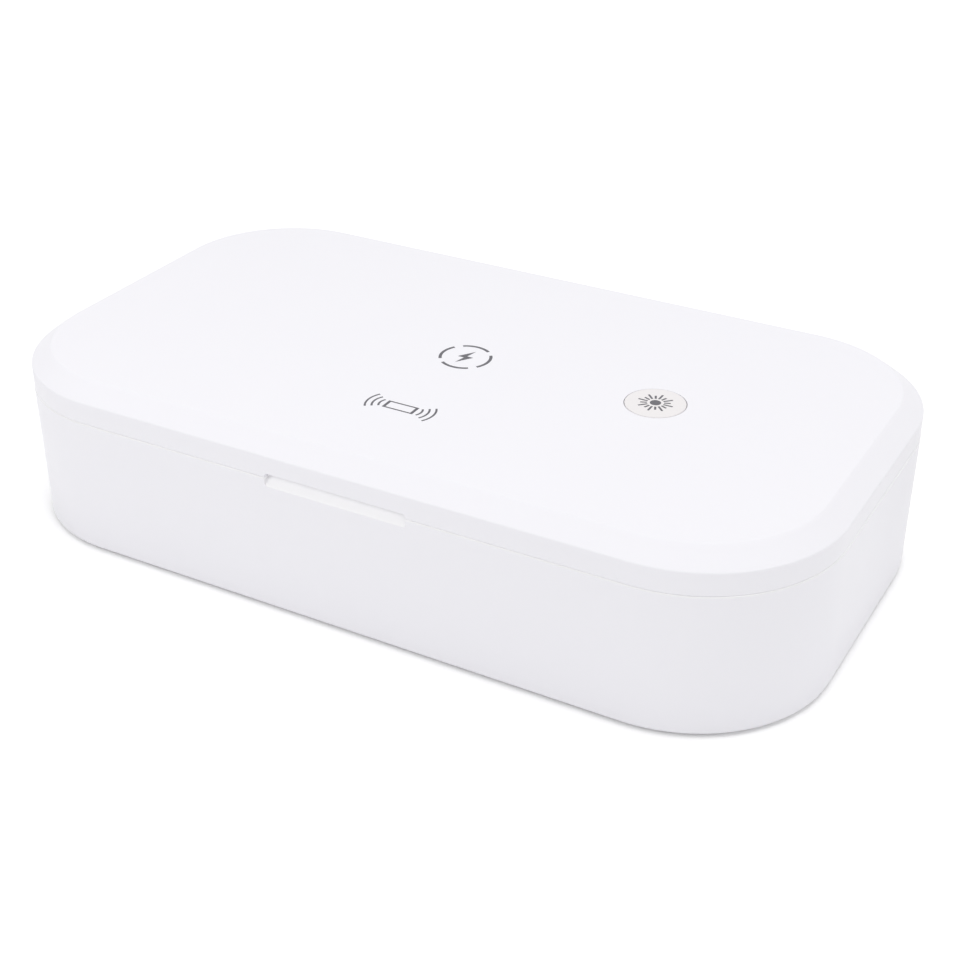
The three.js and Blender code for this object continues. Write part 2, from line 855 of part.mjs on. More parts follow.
// The cut for a lamp pocket, its cover's seat and its lead holes. The panel's surface is at
// surfaceZ, and up is 1 or -1, the way from there into the chamber.
function lampSeat(surfaceZ, up) {
  const pocketFloorZ = surfaceZ - up * pocketDepth;
  const openZ = surfaceZ + up * cutOverrun;
  const margin = 2 * (windowFlange + fitGap);
  const inside = prismBetween(stadium(pocketLength, pocketWidth), pocketFloorZ, openZ);
  const rebate = prismBetween(
    stadium(pocketLength + margin, pocketWidth + margin),
    surfaceZ - up * (windowFlangeThickness + seatGap),
    openZ,
  );
  const holes = sides.map(([, side]) =>
    prismBetween(
      circle(side * leadHoleX, 0, leadRadius + leadHoleGap, smallRoundSteps),
      pocketFloorZ - up * cutOverrun,
      surfaceZ,
    ),
  );
  return joined(inside, rebate, ...holes);
}

// The box round a lamp pocket, on the far side of its panel.
function lampShroud(surfaceZ, up, joinDepth) {
  return prismBetween(
    stadium(pocketLength + 2 * pocketSkin, pocketWidth + 2 * pocketSkin),
    surfaceZ - up * (pocketDepth + pocketSkin),
    surfaceZ - up * joinDepth,
  );
}

// The inside of the tub, with a round edge along its floor.
function chamberHollow() {
  const levels = [];
  for (let k = 0; k <= edgeSteps; k += 1) {
    const angle = ((k / edgeSteps) * Math.PI) / 2;
    const inset = chamberMargin + chamberDraft + chamberFloorRadius * (1 - Math.sin(angle));
    const z = chamberFloorZ + chamberFloorRadius * (1 - Math.cos(angle));
    levels.push({ z, points: outline(inset) });
  }
  levels.push({ z: lipTopZ + cutOverrun, points: outline(chamberMargin) });
  return loft(levels);
}

// The tub that the phone goes into, with the flange that sits on the base shell's ledge.
function makeChamberLiner() {
  const tub = loft([
    { z: chamberFloorZ - floorThickness, points: outline(lipOuterInset + chamberDraft) },
    { z: flangeTopZ, points: outline(lipOuterInset) },
    { z: lipTopZ, points: outline(lipOuterInset) },
  ]);
  const flange = less(prism(outline(flangeInset), flangeBottomZ, flangeTopZ), railClearance());
  const posts = atPosts((x, y) =>
    rodAlongZ(
      x,
      y,
      coverTopZ + coverCollarHeight + seatGap,
      flangeTopZ - seatGap,
      postRadius,
    ),
  );
  const postHoles = atPosts((x, y) =>
    rodAlongZ(
      x,
      y,
      baseBottomZ,
      coverHeadZ + coverHeadHeight + coverShankLength + seatGap,
      coverShankRadius + screwHoleGap,
      smallRoundSteps,
    ),
  );
  const cups = atMagnets((x, y) =>
    rodAlongZ(x, y, baseMagnetZ, flangeTopZ - seatGap, magnetRadius + magnetGap + magnetCupWall),
  );
  const magnetHoles = atMagnets((x, y) =>
    rodAlongZ(x, y, 0, flangeTopZ - magnetSkin, magnetRadius + magnetGap),
  );
  const bosses = sides.map(([, side]) =>
    rodAlongY(
      boardScrewX(side),
      linerBackY - linerWall,
      linerBackY + boardBossLength,
      boardScrewZ,
      boardBossRadius,
      smallRoundSteps,
    ),
  );
  const bossHoles = sides.map(([, side]) =>
    rodAlongY(
      boardScrewX(side),
      linerBackY - linerWall / 2,
      boxDepth,
      boardScrewZ,
      boardShankRadius + screwHoleGap,
      smallRoundSteps,
    ),
  );
  const shroud = lampShroud(chamberFloorZ, 1, floorThickness / 2);
  let liner = joined(tub, flange, ...posts, ...cups, ...bosses, shroud);
  liner = less(liner, chamberHollow(), ...postHoles, ...magnetHoles, ...bossHoles);
  liner = joined(liner, ...makeRibs());
  liner = less(liner, lampSeat(chamberFloorZ, 1));
  return meshOf("chamber_liner", liner, silverPlastic);
}

function boardScrewX(side) {
  return mainBoardX + side * (mainBoardLength / 2 - boardScrewInset);
}

// Ribs that hold the phone clear of the floor and of the lamp window.
function makeRibs() {
  const innerY = pocketWidth / 2 + windowFlange + fitGap + ribWindowGap;
  const outerY = boxDepth / 2 - chamberMargin - chamberDraft - ribWallGap;
  const footZ = chamberFloorZ - floorThickness / 2;
  const crown = ribWidth * ribCrownShare;
  const topZ = chamberFloorZ + ribHeight;
  const half = ribWidth / 2;
  const ribs = [];
  for (let k = 0; k < ribPairs; k += 1) {
    const x = (k - (ribPairs - 1) / 2) * ribPitch;
    const section = [
      [x - half, footZ],
      [x + half, footZ],
      [x + half, topZ - crown],
      [x + half - crown, topZ],
      [x - half + crown, topZ],
      [x - half, topZ - crown],
    ].map((point) => new THREE.Vector2(...point));
    ribs.push(slabAlongY(section, innerY, outerY));
    ribs.push(slabAlongY(section, -outerY, -innerY));
  }
  return ribs;
}

// One lamp unit, drawn with its panel's surface at 0 and the chamber above it.
function makeLampUnit(prefix) {
  const unit = new THREE.Group();
  const tube = rodAlongX(-tubeLength / 2, tubeLength / 2, 0, lampRise, tubeRadius, barSteps);
  unit.add(meshOf(prefix + "_lamp", tube, lampGlass));
  for (const [word, side] of sides) {
    unit.add(makeLampCap(prefix + "_lamp_cap_" + word, side));
    unit.add(makeLampSaddle(prefix + "_lamp_saddle_" + word, side));
  }
  unit.add(makeReflector(prefix + "_reflector"));
  unit.add(makeWindow(prefix + "_lamp_window"));
  return unit;
}

function makeLampCap(name, side) {
  const inner = tubeLength / 2 - capGrip;
  const sleeve = rodAlongX(inner, capEndX, 0, lampRise, capRadius, barSteps);
  const pin = rodAlongX(
    capEndX - seatGap,
    capEndX + capPinLength,
    0,
    lampRise,
    capPinRadius,
    smallRoundSteps,
  );
  const bore = rodAlongX(
    inner - cutOverrun,
    tubeLength / 2 + seatGap,
    0,
    lampRise,
    tubeRadius + seatGap,
    barSteps,
  );
  const cap = meshOf(name, less(joined(sleeve, pin), bore), nickel);
  if (side < 0) cap.rotation.z = Math.PI;
  return cap;
}

function makeLampSaddle(name, side) {
  const middle = tubeLength / 2 - capGrip + capLength / 2;
  const body = block(
    side * middle,
    0,
    saddleLength,
    pocketWidth - 2 * (windowThickness + fitGap),
    -pocketDepth + seatGap,
    lampRise,
  );
  const groove = rodAlongX(
    side * middle - saddleLength,
    side * middle + saddleLength,
    0,
    lampRise,
    capRadius + seatGap,
    barSteps,
  );
  return meshOf(name, less(body, groove), silicone);
}

// A bent strip of bright sheet under the tube, between the two saddles.
function makeReflector(name) {
  const half = tubeLength / 2 - capGrip - fitGap;
  const low = -pocketDepth + seatGap;
  const flatY = reflectorFlatWidth / 2;
  const wingY = pocketWidth / 2 - fitGap;
  const wingZ = -windowFlangeThickness - seatGap;
  const top = low + reflectorThickness;
  const profile = [
    [-flatY, low],
    [flatY, low],
    [wingY, wingZ - reflectorThickness],
    [wingY, wingZ],
    [flatY - reflectorThickness / 2, top],
    [-flatY + reflectorThickness / 2, top],
    [-wingY, wingZ],
    [-wingY, wingZ - reflectorThickness],
  ];
  return meshOf(name, barAlongX(profile, -half, half), brightAluminium);
}

// The clear cover: a flange in the panel's seat and a low hump over the tube.
const humpHeightShares = [0, 0.42, 0.78, 1];
const humpInsetShares = [0, 0.03, 0.1, 0.25];

function makeHump(length, width, height, skirt) {
  const levels = [{ z: -skirt, points: stadium(length, width) }];
  humpHeightShares.forEach((share, k) => {
    const narrower = 2 * humpInsetShares[k] * width;
    levels.push({ z: share * height, points: stadium(length - narrower, width - narrower) });
  });
  return loft(levels);
}

function makeWindow(name) {
  const flange = prism(
    stadium(pocketLength + 2 * windowFlange, pocketWidth + 2 * windowFlange),
    -windowFlangeThickness,
    0,
  );
  const outer = makeHump(pocketLength, pocketWidth, humpHeight, windowFlangeThickness / 2);
  const inner = makeHump(
    pocketLength - 2 * windowThickness,
    pocketWidth - 2 * windowThickness,
    humpInnerHeight,
    cutOverrun,
  );
  return meshOf(name, less(joined(flange, outer), inner), clearPlastic);
}

// A lead runs from a cap's pin to the hole in the pocket, and on along its tail.
function makeLead(name, side, surfaceZ, up, tail) {
  const startX = side * (capEndX + capPinLength + fitGap);
  const holeX = side * leadHoleX;
  const axisZ = surfaceZ + up * lampRise;
  const route = [[startX, 0, axisZ], [holeX, 0, axisZ], ...tail];
  return meshOf(name, wireAlong(route, leadBend, leadRadius, leadSides), leadWhite);
}

// Under the tub, then up behind the main board.
function makeBaseLead(name, side) {
  const holeX = side * leadHoleX;
  const runZ = coverTopZ + wireSpace / 2;
  const boardEndX = boardScrewX(side) - side * 2 * boardScrewInset;
  const boardLeadY = boardBackY + leadRadius + fitGap;
  return makeLead(name, side, chamberFloorZ, 1, [
    [holeX, 0, runZ],
    [holeX, linerBackY / 2, runZ],
    [boardEndX, boardLeadY, runZ],
    [boardEndX, boardLeadY, boardBottomZ + 3 * leadRadius],
  ]);
}

// Over the panel to the charging board: the right one passes behind the coil's ferrite.
function makeLidLead(name, side) {
  const holeX = side * leadHoleX;
  const runZ = chargingBoardTopZ + fitGap + leadRadius;
  if (side < 0) {
    return makeLead(name, side, panelZ, -1, [
      [holeX, 0, runZ],
      [holeX, chargingBoardLowY + 4 * leadRadius, runZ],
    ]);
  }
  const boardEndX = chargingBoardX + chargingBoardLength / 2;
  return makeLead(name, side, panelZ, -1, [
    [holeX, 0, runZ],
    [holeX, lidLeadY, runZ],
    [boardEndX - 4 * leadRadius, lidLeadY, runZ],
  ]);
}

// The lid's outer shell.
function makeLidShell() {
  const outer = loft([
    { z: lidRimZ, points: outline(lidEdgeChamfer) },
    { z: lidRimZ + lidEdgeChamfer, points: outline(0) },
    { z: chamferFootZ, points: outline(0) },
    { z: boxHeight, points: outline(chamferWidth) },
  ]);
  const slopeLength = Math.hypot(chamferWidth, chamferHeight);
  const upShare = chamferHeight / slopeLength;
  const inShare = chamferWidth / slopeLength;
  const innerRise = lidUndersideZ - chamferFootZ;
  const inner = loft([
    { z: lidRimZ - cutOverrun, points: outline(lidSideWall) },
    {
      z: chamferFootZ - (lidTopWall - lidSideWall * upShare) / inShare,
      points: outline(lidSideWall),
    },
    { z: lidUndersideZ, points: outline((lidTopWall + innerRise * inShare) / upShare) },
  ]);
  const channelTopZ = partingZ + channelHeight;
  const rail = railBar(lidRimZ, channelTopZ + railWall).intersect(outer);
  const innerTopZ = boxHeight - lidTopWall / 2;
  const bosses = atPosts((x, y) =>
    rodAlongZ(x, y, borderTopZ + seatGap, innerTopZ, lidBossRadius).intersect(outer),
  );
  const bossHoles = atPosts((x, y) =>
    rodAlongZ(
      x,
      y,
      0,
      lidHeadZ + lidHeadHeight + lidShankLength + seatGap,
      lidShankRadius + screwHoleGap,
      smallRoundSteps,
    ),
  );
  const boardPosts = corners.map(([, sideX, sideY]) =>
    rodAlongZ(
      buttonX + sideX * (buttonBoardLength / 2 - boardPostInset),
      sideY * (buttonBoardWidth / 2 - boardPostInset),
      buttonBoardTopZ + seatGap,
      innerTopZ,
      boardPostRadius,
      smallRoundSteps,
    ),
  );
  const buttonHole = rodAlongZ(
    buttonX,
    0,
    0,
    boxHeight + cutOverrun,
    buttonRadius + buttonHoleGap,
    buttonSteps,
  );
  const swing = knuckles(baseKnuckleSpans(), knuckleRadius + knuckleClearance, knuckleEndGap);
  let shell = joined(less(outer, inner), rail, ...bosses, ...boardPosts);
  shell = less(shell, hingeChannel(0, channelTopZ), swing, ...bossHoles, buttonHole);
  shell = joined(shell, knuckles(lidKnuckleSpans(), knuckleRadius, 0));
  const harnessBore = harnessOf(lidHarnessRoute(cutOverrun), harnessRadius + harnessClearance);
  shell = less(shell, pinBores(), harnessBore, notchSlot());
  return meshOf("lid_shell", shell, whitePlastic);
}

// The panel that closes the lid from below: a border level with the lid's rim, a step up over the
// liner's lip, and a raised pocket for the lamp.
function makeLidLiner() {
  const border = less(
    prism(outline(borderInset), borderBottomZ, borderTopZ),
    railClearance(),
  );
  const panel = prism(outline(stepOuterInset), borderBottomZ, panelTopZ);
  const hollow = prism(outline(stepInnerInset), borderBottomZ - cutOverrun, panelZ);
  const shroud = lampShroud(panelZ, -1, panelThickness / 2);
  const cups = atMagnets((x, y) =>
    rodAlongZ(
      x,
      y,
      borderBottomZ,
      lidMagnetZ + magnetThickness,
      magnetRadius + magnetGap + magnetCupWall,
    ),
  );
  const magnetHoles = atMagnets((x, y) =>
    rodAlongZ(x, y, borderBottomZ + magnetSkin, boxHeight, magnetRadius + magnetGap),
  );
  const headHoles = atPosts((x, y) =>
    rodAlongZ(x, y, 0, lidHeadZ + lidHeadHeight + seatGap, lidHeadRadius + fitGap),
  );
  const shankHoles = atPosts((x, y) =>
    rodAlongZ(x, y, 0, boxHeight, lidShankRadius + screwHoleGap, smallRoundSteps),
  );
  const standoffs = corners.map(([, sideX, sideY]) =>
    rodAlongZ(
      chargingBoardX + sideX * (chargingBoardLength / 2 - standoffRadius),
      chargingBoardY + sideY * (chargingBoardWidth / 2 - standoffRadius),
      panelTopZ - seatGap,
      panelTopZ + standoffHeight,
      standoffRadius,
      smallRoundSteps,
    ),
  );
  const holes = [...magnetHoles, ...headHoles, ...shankHoles];
  const liner = joined(border, panel, shroud, ...cups, ...standoffs);
  return meshOf("lid_liner", less(liner, hollow, ...holes, lampSeat(panelZ, -1)), silverPlastic);
}

// The charging coil: a flat ring with a groove between its turns.
function makeCoil() {
  const pitch = (coilOuterRadius - coilInnerRadius) / coilTurns;
  const profile = [
    [coilInnerRadius, coilBottomZ],
    [coilOuterRadius, coilBottomZ],
    [coilOuterRadius, coilTopZ - coilGrooveDepth],
  ];
  for (let turn = coilTurns - 1; turn >= 0; turn -= 1) {
    const inner = coilInnerRadius + turn * pitch;
    profile.push([inner + pitch / 2, coilTopZ]);
    profile.push([inner, coilTopZ - coilGrooveDepth]);
  }
  profile.push([coilInnerRadius, coilBottomZ]);
  return meshOf("charging_coil", turned(profile, roundSteps), copper);
}

function makeFerrite() {
  const size = 2 * (coilOuterRadius + ferriteOverlap);
  const sheet = prism(
    roundedRectangle(size, size, ferriteOverlap, edgeSteps),
    ferriteBottomZ,
    ferriteTopZ,
  );
  return meshOf("coil_ferrite", sheet, ferriteBlack);
}

function makeChargingBoard() {
  const board = block(
    chargingBoardX,
    chargingBoardY,
    chargingBoardLength,
    chargingBoardWidth,
    chargingBoardLowZ,
    chargingBoardTopZ,
  );
  return meshOf("charging_board", board, boardGreen);
}

function makeChargingChip() {
  const lowZ = chargingBoardTopZ + seatGap;
  const chip = block(
    chargingBoardX - chargingChipShiftX,
    chargingBoardY,
    chargingChipSize,
    chargingChipSize,
    lowZ,
    lowZ + chargingChipHeight,
  );
  return meshOf("charging_chip", chip, chipBlack);
}

// The start button: a cap with a retaining flange, a skirt and a stem over the switch.
function makeButtonCap() {
  const topZ = boxHeight;
  const discZ = topZ - buttonTopThickness;
  const flangeTop = lidUndersideZ - 2 * seatGap;
  const flangeLow = flangeTop - buttonFlangeThickness;
  const skirtInner = buttonRadius - buttonSkirtWall;
  const cap = turned(
    [
      [0, plungerTopZ + seatGap],
      [buttonStemRadius, plungerTopZ + seatGap],
      [buttonStemRadius, discZ],
      [skirtInner, discZ],
      [skirtInner, flangeLow],
      [buttonRadius + buttonFlange, flangeLow],
      [buttonRadius + buttonFlange, flangeTop],
      [buttonRadius, flangeTop],
      [buttonRadius, topZ - buttonEdge],
      [buttonRadius - buttonEdge, topZ],
      [0, topZ],
    ],
    buttonSteps,
  );
  return placed(meshOf("button_cap", cap, buttonPlastic), buttonX, 0, 0);
}

function makeButtonBoard() {
  const board = block(
    buttonX,
    0,
    buttonBoardLength,
    buttonBoardWidth,
    buttonBoardZ,
    buttonBoardTopZ,
  );
  return meshOf("button_board", board, boardGreen);
}

function makeSwitchBody() {
  const lowZ = buttonBoardTopZ + seatGap;
  const body = block(buttonX, 0, switchSize, switchSize, lowZ, switchTopZ);
  const wellRadius = plungerRadius + plungerGap;
  const well = rodAlongZ(buttonX, 0, lowZ + wellFloor, boxHeight, wellRadius, smallRoundSteps);
  return meshOf("switch_body", less(body, well), chipBlack);
}

function makeSwitchPlunger() {
  const lowZ = switchTopZ - plungerDepth;
  const plunger = rodAlongZ(buttonX, 0, lowZ, plungerTopZ, plungerRadius, smallRoundSteps);
  return meshOf("switch_plunger", plunger, silicone);
}

function makeMagnet(name, side, lowZ) {
  const magnet = rodAlongZ(0, 0, 0, magnetThickness, magnetRadius);
  return placed(meshOf(name, magnet, nickel), side * magnetX, magnetY, lowZ);
}

// The board stands upright behind the chamber and faces the back wall.
function makeMainBoard() {
  const board = box(
    mainBoardX - mainBoardLength / 2,
    mainBoardX + mainBoardLength / 2,
    boardFrontY,
    boardBackY,
    boardBottomZ,
    boardBottomZ + mainBoardHeight,
  );
  const holes = sides.map(([, side]) =>
    rodAlongY(
      boardScrewX(side),
      boardFrontY - cutOverrun,
      boardBackY + cutOverrun,
      boardScrewZ,
      boardHoleRadius,
      smallRoundSteps,
    ),
  );
  return meshOf("main_board", less(board, ...holes), boardGreen);
}

function makeBoardScrew(name, side) {
  const screw = makeScrew(
    name,
    boardHeadRadius,
    boardHeadHeight,
    boardShankRadius,
    boardShankLength,
  );
  screw.rotation.x = Math.PI / 2;
  return placed(screw, boardScrewX(side), boardBackY + seatGap + boardHeadHeight, boardScrewZ);
}

function makeSocket() {
  const z = boardBottomZ + socketLift;
  const lowY = boardBackY + seatGap;
  const mouthY = backY - socketRecess;
  const at = (points) => points.map((point) => new THREE.Vector2(point.x + socketX, point.y + z));
  const can = slabAlongY(at(stadium(socketWidth, socketHeight)), lowY, mouthY);
  const mouth = slabAlongY(
    at(stadium(socketWidth - 2 * socketWall, socketHeight - 2 * socketWall)),
    mouthY - socketMouthDepth,
    mouthY + cutOverrun,
  );
  const tongue = box(
    socketX - socketTongueWidth / 2,
    socketX + socketTongueWidth / 2,
    mouthY - socketMouthDepth - seatGap,
    mouthY - socketTongueSetback,
    z - socketTongueThickness / 2,
    z + socketTongueThickness / 2,
  );
  return meshOf("usb_c_socket", joined(less(can, mouth), tongue), nickel);
}

function makeTransformer() {
  const z = boardBottomZ + transformerLift;
  const lowY = boardBackY + seatGap;
  const core = box(
    transformerX - transformerWidth / 2,
    transformerX + transformerWidth / 2,
    lowY,
    lowY + transformerDepth * transformerCoreShare,
    z - transformerHeight / 2,
    z + transformerHeight / 2,
  );
  const winding = rodAlongY(
    transformerX,
    lowY,
    lowY + transformerDepth,
    z,
    transformerWindingRadius,
  );
  return meshOf("ballast_transformer", joined(core, winding), ferriteBlack);
}

function makeCapacitor() {
  const groove = capacitorLength * capacitorGrooveShare;
  const can = turned(
    [
      [0, 0],
      [capacitorRadius, 0],
      [capacitorRadius, groove],
      [capacitorRadius - capacitorGroove, groove + capacitorGroove],
      [capacitorRadius, groove + 2 * capacitorGroove],
      [capacitorRadius, capacitorLength - capacitorGroove],
      [capacitorRadius - capacitorGroove, capacitorLength],
      [0, capacitorLength],
    ],
    barSteps,
  );
  const mesh = meshOf("filter_capacitor", can, nickel);
  mesh.rotation.x = -Math.PI / 2;
  return placed(mesh, capacitorX, boardBackY + seatGap, boardBottomZ + capacitorLift);
}

function makeController() {
  const lowY = boardBackY + seatGap;
  const z = boardBottomZ + controllerLift;
  const chip = box(
    controllerX - controllerSize / 2,
    controllerX + controllerSize / 2,
    lowY,
    lowY + controllerHeight,
    z - controllerSize / 2,
    z + controllerSize / 2,
  );
  return meshOf("controller_chip", chip, chipBlack);
}

// A small board on the liner's front wall, beside a magnet, that senses whether the lid is shut.
function makeLidSensor() {
  const backOfBoardY = -linerBackY - seatGap;
  const topZ = flangeBottomZ - fitGap;
  const board = box(
    sensorX - sensorLength / 2,
    sensorX + sensorLength / 2,
    backOfBoardY - sensorThickness,
    backOfBoardY,
    topZ - sensorHeight,
    topZ,
  );
  const chip = box(
    sensorX - sensorChipSize / 2,
    sensorX + sensorChipSize / 2,
    backOfBoardY - sensorThickness - sensorChipHeight,
    backOfBoardY - sensorThickness / 2,
    topZ - sensorHeight / 2 - sensorChipSize / 2,
    topZ - sensorHeight / 2 + sensorChipSize / 2,
  );
  return meshOf("lid_sensor_board", joined(board, chip), boardGreen);
}

function makeHingePin(name, side) {
  const reach = lidKnuckleLength / 2 + knuckleEndGap + baseKnuckleLength - pinEndInset - seatGap;
  const pin = rodAlongX(-reach, reach, 0, 0, pinRadius, smallRoundSteps);
  return placed(meshOf(name, pin, steel), side * hingeOffset, hingeY, partingZ);
}

// Everything that stays on the table
function makeBase() {
  const base = new THREE.Group();
  base.add(makeBaseShell(), makeBottomCover(), makeChamberLiner());
  for (const [word, sideX, sideY] of corners) {
    base.add(placed(makeFoot("foot_" + word), sideX * footX, sideY * footY, 0));
    const screw = makeScrew(
      "bottom_screw_" + word,
      coverHeadRadius,
      coverHeadHeight,
      coverShankRadius,
      coverShankLength,
    );
    base.add(placed(screw, sideX * postX, sideY * postY, coverHeadZ));
  }
  const lampUnit = makeLampUnit("base");
  lampUnit.position.z = chamberFloorZ;
  base.add(lampUnit);
  for (const [word, side] of sides) {
    base.add(makeBaseLead("base_lamp_lead_" + word, side));
    base.add(makeHingePin("hinge_pin_" + word, side));
    base.add(makeBoardScrew("board_screw_" + word, side));
    base.add(makeMagnet("base_magnet_" + word, side, baseMagnetZ));
  }
  base.add(makeMainBoard(), makeSocket(), makeTransformer(), makeCapacitor(), makeController());
  base.add(makeLidSensor());
  base.add(meshOf("base_harness", harnessOf(baseHarnessRoute(0), harnessRadius), wireSleeve));
  return base;
}

// Everything that swings up with the lid
function makeLid() {
  const lid = new THREE.Group();
  lid.add(makeLidShell(), makeLidLiner());
  for (const [word, sideX, sideY] of corners) {
    const screw = makeScrew(
      "lid_screw_" + word,
      lidHeadRadius,
      lidHeadHeight,
      lidShankRadius,
      lidShankLength,
    );
    lid.add(placed(screw, sideX * postX, sideY * postY, lidHeadZ));
  }
  const lampUnit = makeLampUnit("lid");
  lampUnit.rotation.x = Math.PI;
  lampUnit.position.z = panelZ;
  lid.add(lampUnit);
  for (const [word, side] of sides) {
    lid.add(makeLidLead("lid_lamp_lead_" + word, side));
    lid.add(makeMagnet("lid_magnet_" + word, side, lidMagnetZ));
  }
  lid.add(makeCoil(), makeFerrite(), makeChargingBoard(), makeChargingChip());
  lid.add(makeButtonBoard(), makeSwitchBody());
  lid.add(meshOf("lid_harness", harnessOf(lidHarnessRoute(0), harnessRadius), wireSleeve));
  return lid;
}

const sanitizer = new THREE.Group();
sanitizer.add(makeBase(), makeLid(), makeButtonCap(), makeSwitchPlunger());

export default sanitizer;
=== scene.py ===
"""Looks of a UV sanitizer box for phones: a rounded white box with a hinged lid.

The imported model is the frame. The white shells, the silver liners, the lamp units and the small
parts that show are built again here with fine round edges, in the places that the frame gives.
Every length is in metres in the frame's own axes: +X along the box, -Y to its front, +Z up.
"""

import json
import math

import bmesh
import bpy
from mathutils import Matrix, Vector


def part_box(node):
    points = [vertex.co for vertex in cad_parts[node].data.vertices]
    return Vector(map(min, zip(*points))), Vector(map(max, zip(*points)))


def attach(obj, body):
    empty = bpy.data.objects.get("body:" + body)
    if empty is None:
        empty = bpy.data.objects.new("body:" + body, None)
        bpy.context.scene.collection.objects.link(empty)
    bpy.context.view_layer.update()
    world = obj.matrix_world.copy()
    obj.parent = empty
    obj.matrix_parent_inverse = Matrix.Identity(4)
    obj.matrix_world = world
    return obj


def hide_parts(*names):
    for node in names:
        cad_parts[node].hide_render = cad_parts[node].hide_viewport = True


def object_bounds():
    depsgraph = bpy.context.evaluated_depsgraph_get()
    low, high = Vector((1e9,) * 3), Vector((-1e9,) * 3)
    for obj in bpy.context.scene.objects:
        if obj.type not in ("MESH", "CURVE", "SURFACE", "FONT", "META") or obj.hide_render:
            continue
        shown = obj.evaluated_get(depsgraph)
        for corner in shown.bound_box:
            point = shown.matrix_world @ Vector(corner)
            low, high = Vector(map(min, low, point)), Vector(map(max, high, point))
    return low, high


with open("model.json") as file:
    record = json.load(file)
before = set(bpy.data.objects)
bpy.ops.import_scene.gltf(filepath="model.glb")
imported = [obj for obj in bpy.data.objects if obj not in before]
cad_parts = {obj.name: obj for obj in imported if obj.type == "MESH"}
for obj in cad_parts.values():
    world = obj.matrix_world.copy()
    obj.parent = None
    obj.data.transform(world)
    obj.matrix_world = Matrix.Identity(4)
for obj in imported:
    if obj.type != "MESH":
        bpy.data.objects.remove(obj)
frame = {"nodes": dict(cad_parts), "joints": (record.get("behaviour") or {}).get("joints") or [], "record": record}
CAD_LOW, CAD_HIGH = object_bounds()
MM = 0.001

CORNERS = {
    "front_left": (-1, -1),
    "front_right": (1, -1),
    "back_left": (-1, 1),
    "back_right": (1, 1),
}
SIDES = {"left": -1, "right": 1}
NODE_SLOTS = {part["node"]: part["material_slot"] for part in frame["record"]["subparts"]}
BODY_NODES = frame["record"]["behaviour"]["bodies"]
NODE_BODIES = {node: body for body, nodes in BODY_NODES.items() for node in nodes}


# Places and sizes that the frame gives

def middle_of(node):
    low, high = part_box(node)
    return (low + high) / 2


def radius_of(node):
    """Half the width of a round node."""
    low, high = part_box(node)
    return (high.x - low.x) / 2


def post_places():
    """The four screw posts, in the margin's corners."""
    low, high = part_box("lid_screw_back_right")
    x, y = (low.x + high.x) / 2, (low.y + high.y) / 2
    return [(side_x * x, side_y * y) for side_x, side_y in CORNERS.values()]


POSTS = post_places()

# The outside, from the frame and from the box's own round forms
HALF_LENGTH, HALF_DEPTH, HEIGHT = CAD_HIGH
HINGE_Y, PARTING_Z = frame["joints"][0]["pos_m"][1:]
CORNER_RADIUS = 37.4 * MM
SHUT_GAP = 0.03 * MM
LID_INSET = 0.1 * MM
CHAMFER_WIDTH = 5.7 * MM
CHAMFER_HEIGHT = 4.3 * MM
CHAMFER_FOOT_EASE = 0.7 * MM
CHAMFER_TOP_EASE = 1.1 * MM
CHAMFER_FOOT_Z = HEIGHT - CHAMFER_HEIGHT
INK_THICKNESS = 0.012 * MM
BUTTON_RISE = 0.15 * MM
BUTTON_TOP_Z = HEIGHT - INK_THICKNESS
TOP_Z = BUTTON_TOP_Z - BUTTON_RISE
BASE_BOTTOM_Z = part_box("bottom_cover")[0].z
BASE_RIM_Z = PARTING_Z - SHUT_GAP / 2
LID_RIM_Z = PARTING_Z + SHUT_GAP / 2
RIM_EASE = 0.45 * MM
LID_RIM_EASE = 0.08 * MM

# Clearances
FIT_GAP = 0.3 * MM
SEAT_GAP = 0.1 * MM
FOOT_GAP = 0.15 * MM
OVERRUN = 5 * MM

# Walls
BASE_WALL = 2.2 * MM
BASE_DRAFT = 0.2 * MM
BOTTOM_EASE = 0.5 * MM
INNER_INSET = BASE_WALL + BASE_DRAFT
LEDGE_WIDTH = 2 * MM
LEDGE_THICKNESS = 1.8 * MM
LID_TOP_WALL = 2 * MM
LID_SIDE_WALL = 2.2 * MM
LID_UNDERSIDE_Z = HEIGHT - LID_TOP_WALL
BOSS_RADIUS = 2.8 * MM

# Bottom cover and its collars
COVER_TOP_Z = BASE_BOTTOM_Z + 2 * MM
COLLAR_TOP_Z = COVER_TOP_Z + 1.6 * MM
COLLAR_RADIUS = 4 * MM

# Screws: their heads are at their low ends
HEAD_HEIGHTS = {"base": 1.6 * MM, "lid": 1.0 * MM}
SHANK_RADII = {"base": 1.3 * MM, "lid": 0.9 * MM}
LID_SCREW_HOLE = 1.1 * MM

# Chamber liner
CHAMBER_MARGIN = 16 * MM
CHAMBER_DRAFT = 1 * MM
CHAMBER_EASE = 3 * MM
LINER_WALL = 1.6 * MM
LINER_FLOOR = 1.8 * MM
LIP_INSET = CHAMBER_MARGIN - LINER_WALL
LIP_TOP_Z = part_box("chamber_liner")[1].z
FLANGE_INSET = INNER_INSET + FIT_GAP
FLANGE_TOP_Z = PARTING_Z - 0.5 * MM
FLANGE_LOW_Z = FLANGE_TOP_Z - 1.6 * MM
RIB_WIDTH = 1.6 * MM
RIB_HEIGHT = 4.6 * MM
RIB_CROWN = 0.72 * MM
RIB_PITCH = 36 * MM
RIB_PAIRS = 5
RIB_WALL_GAP = 5 * MM
RIB_WINDOW_GAP = 1.5 * MM
POST_RADIUS = 3.5 * MM
POST_HOLE = 1.5 * MM
POST_HOLE_TOP_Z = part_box("bottom_screw_back_right")[1].z + SEAT_GAP
CUP_WALL = 0.9 * MM
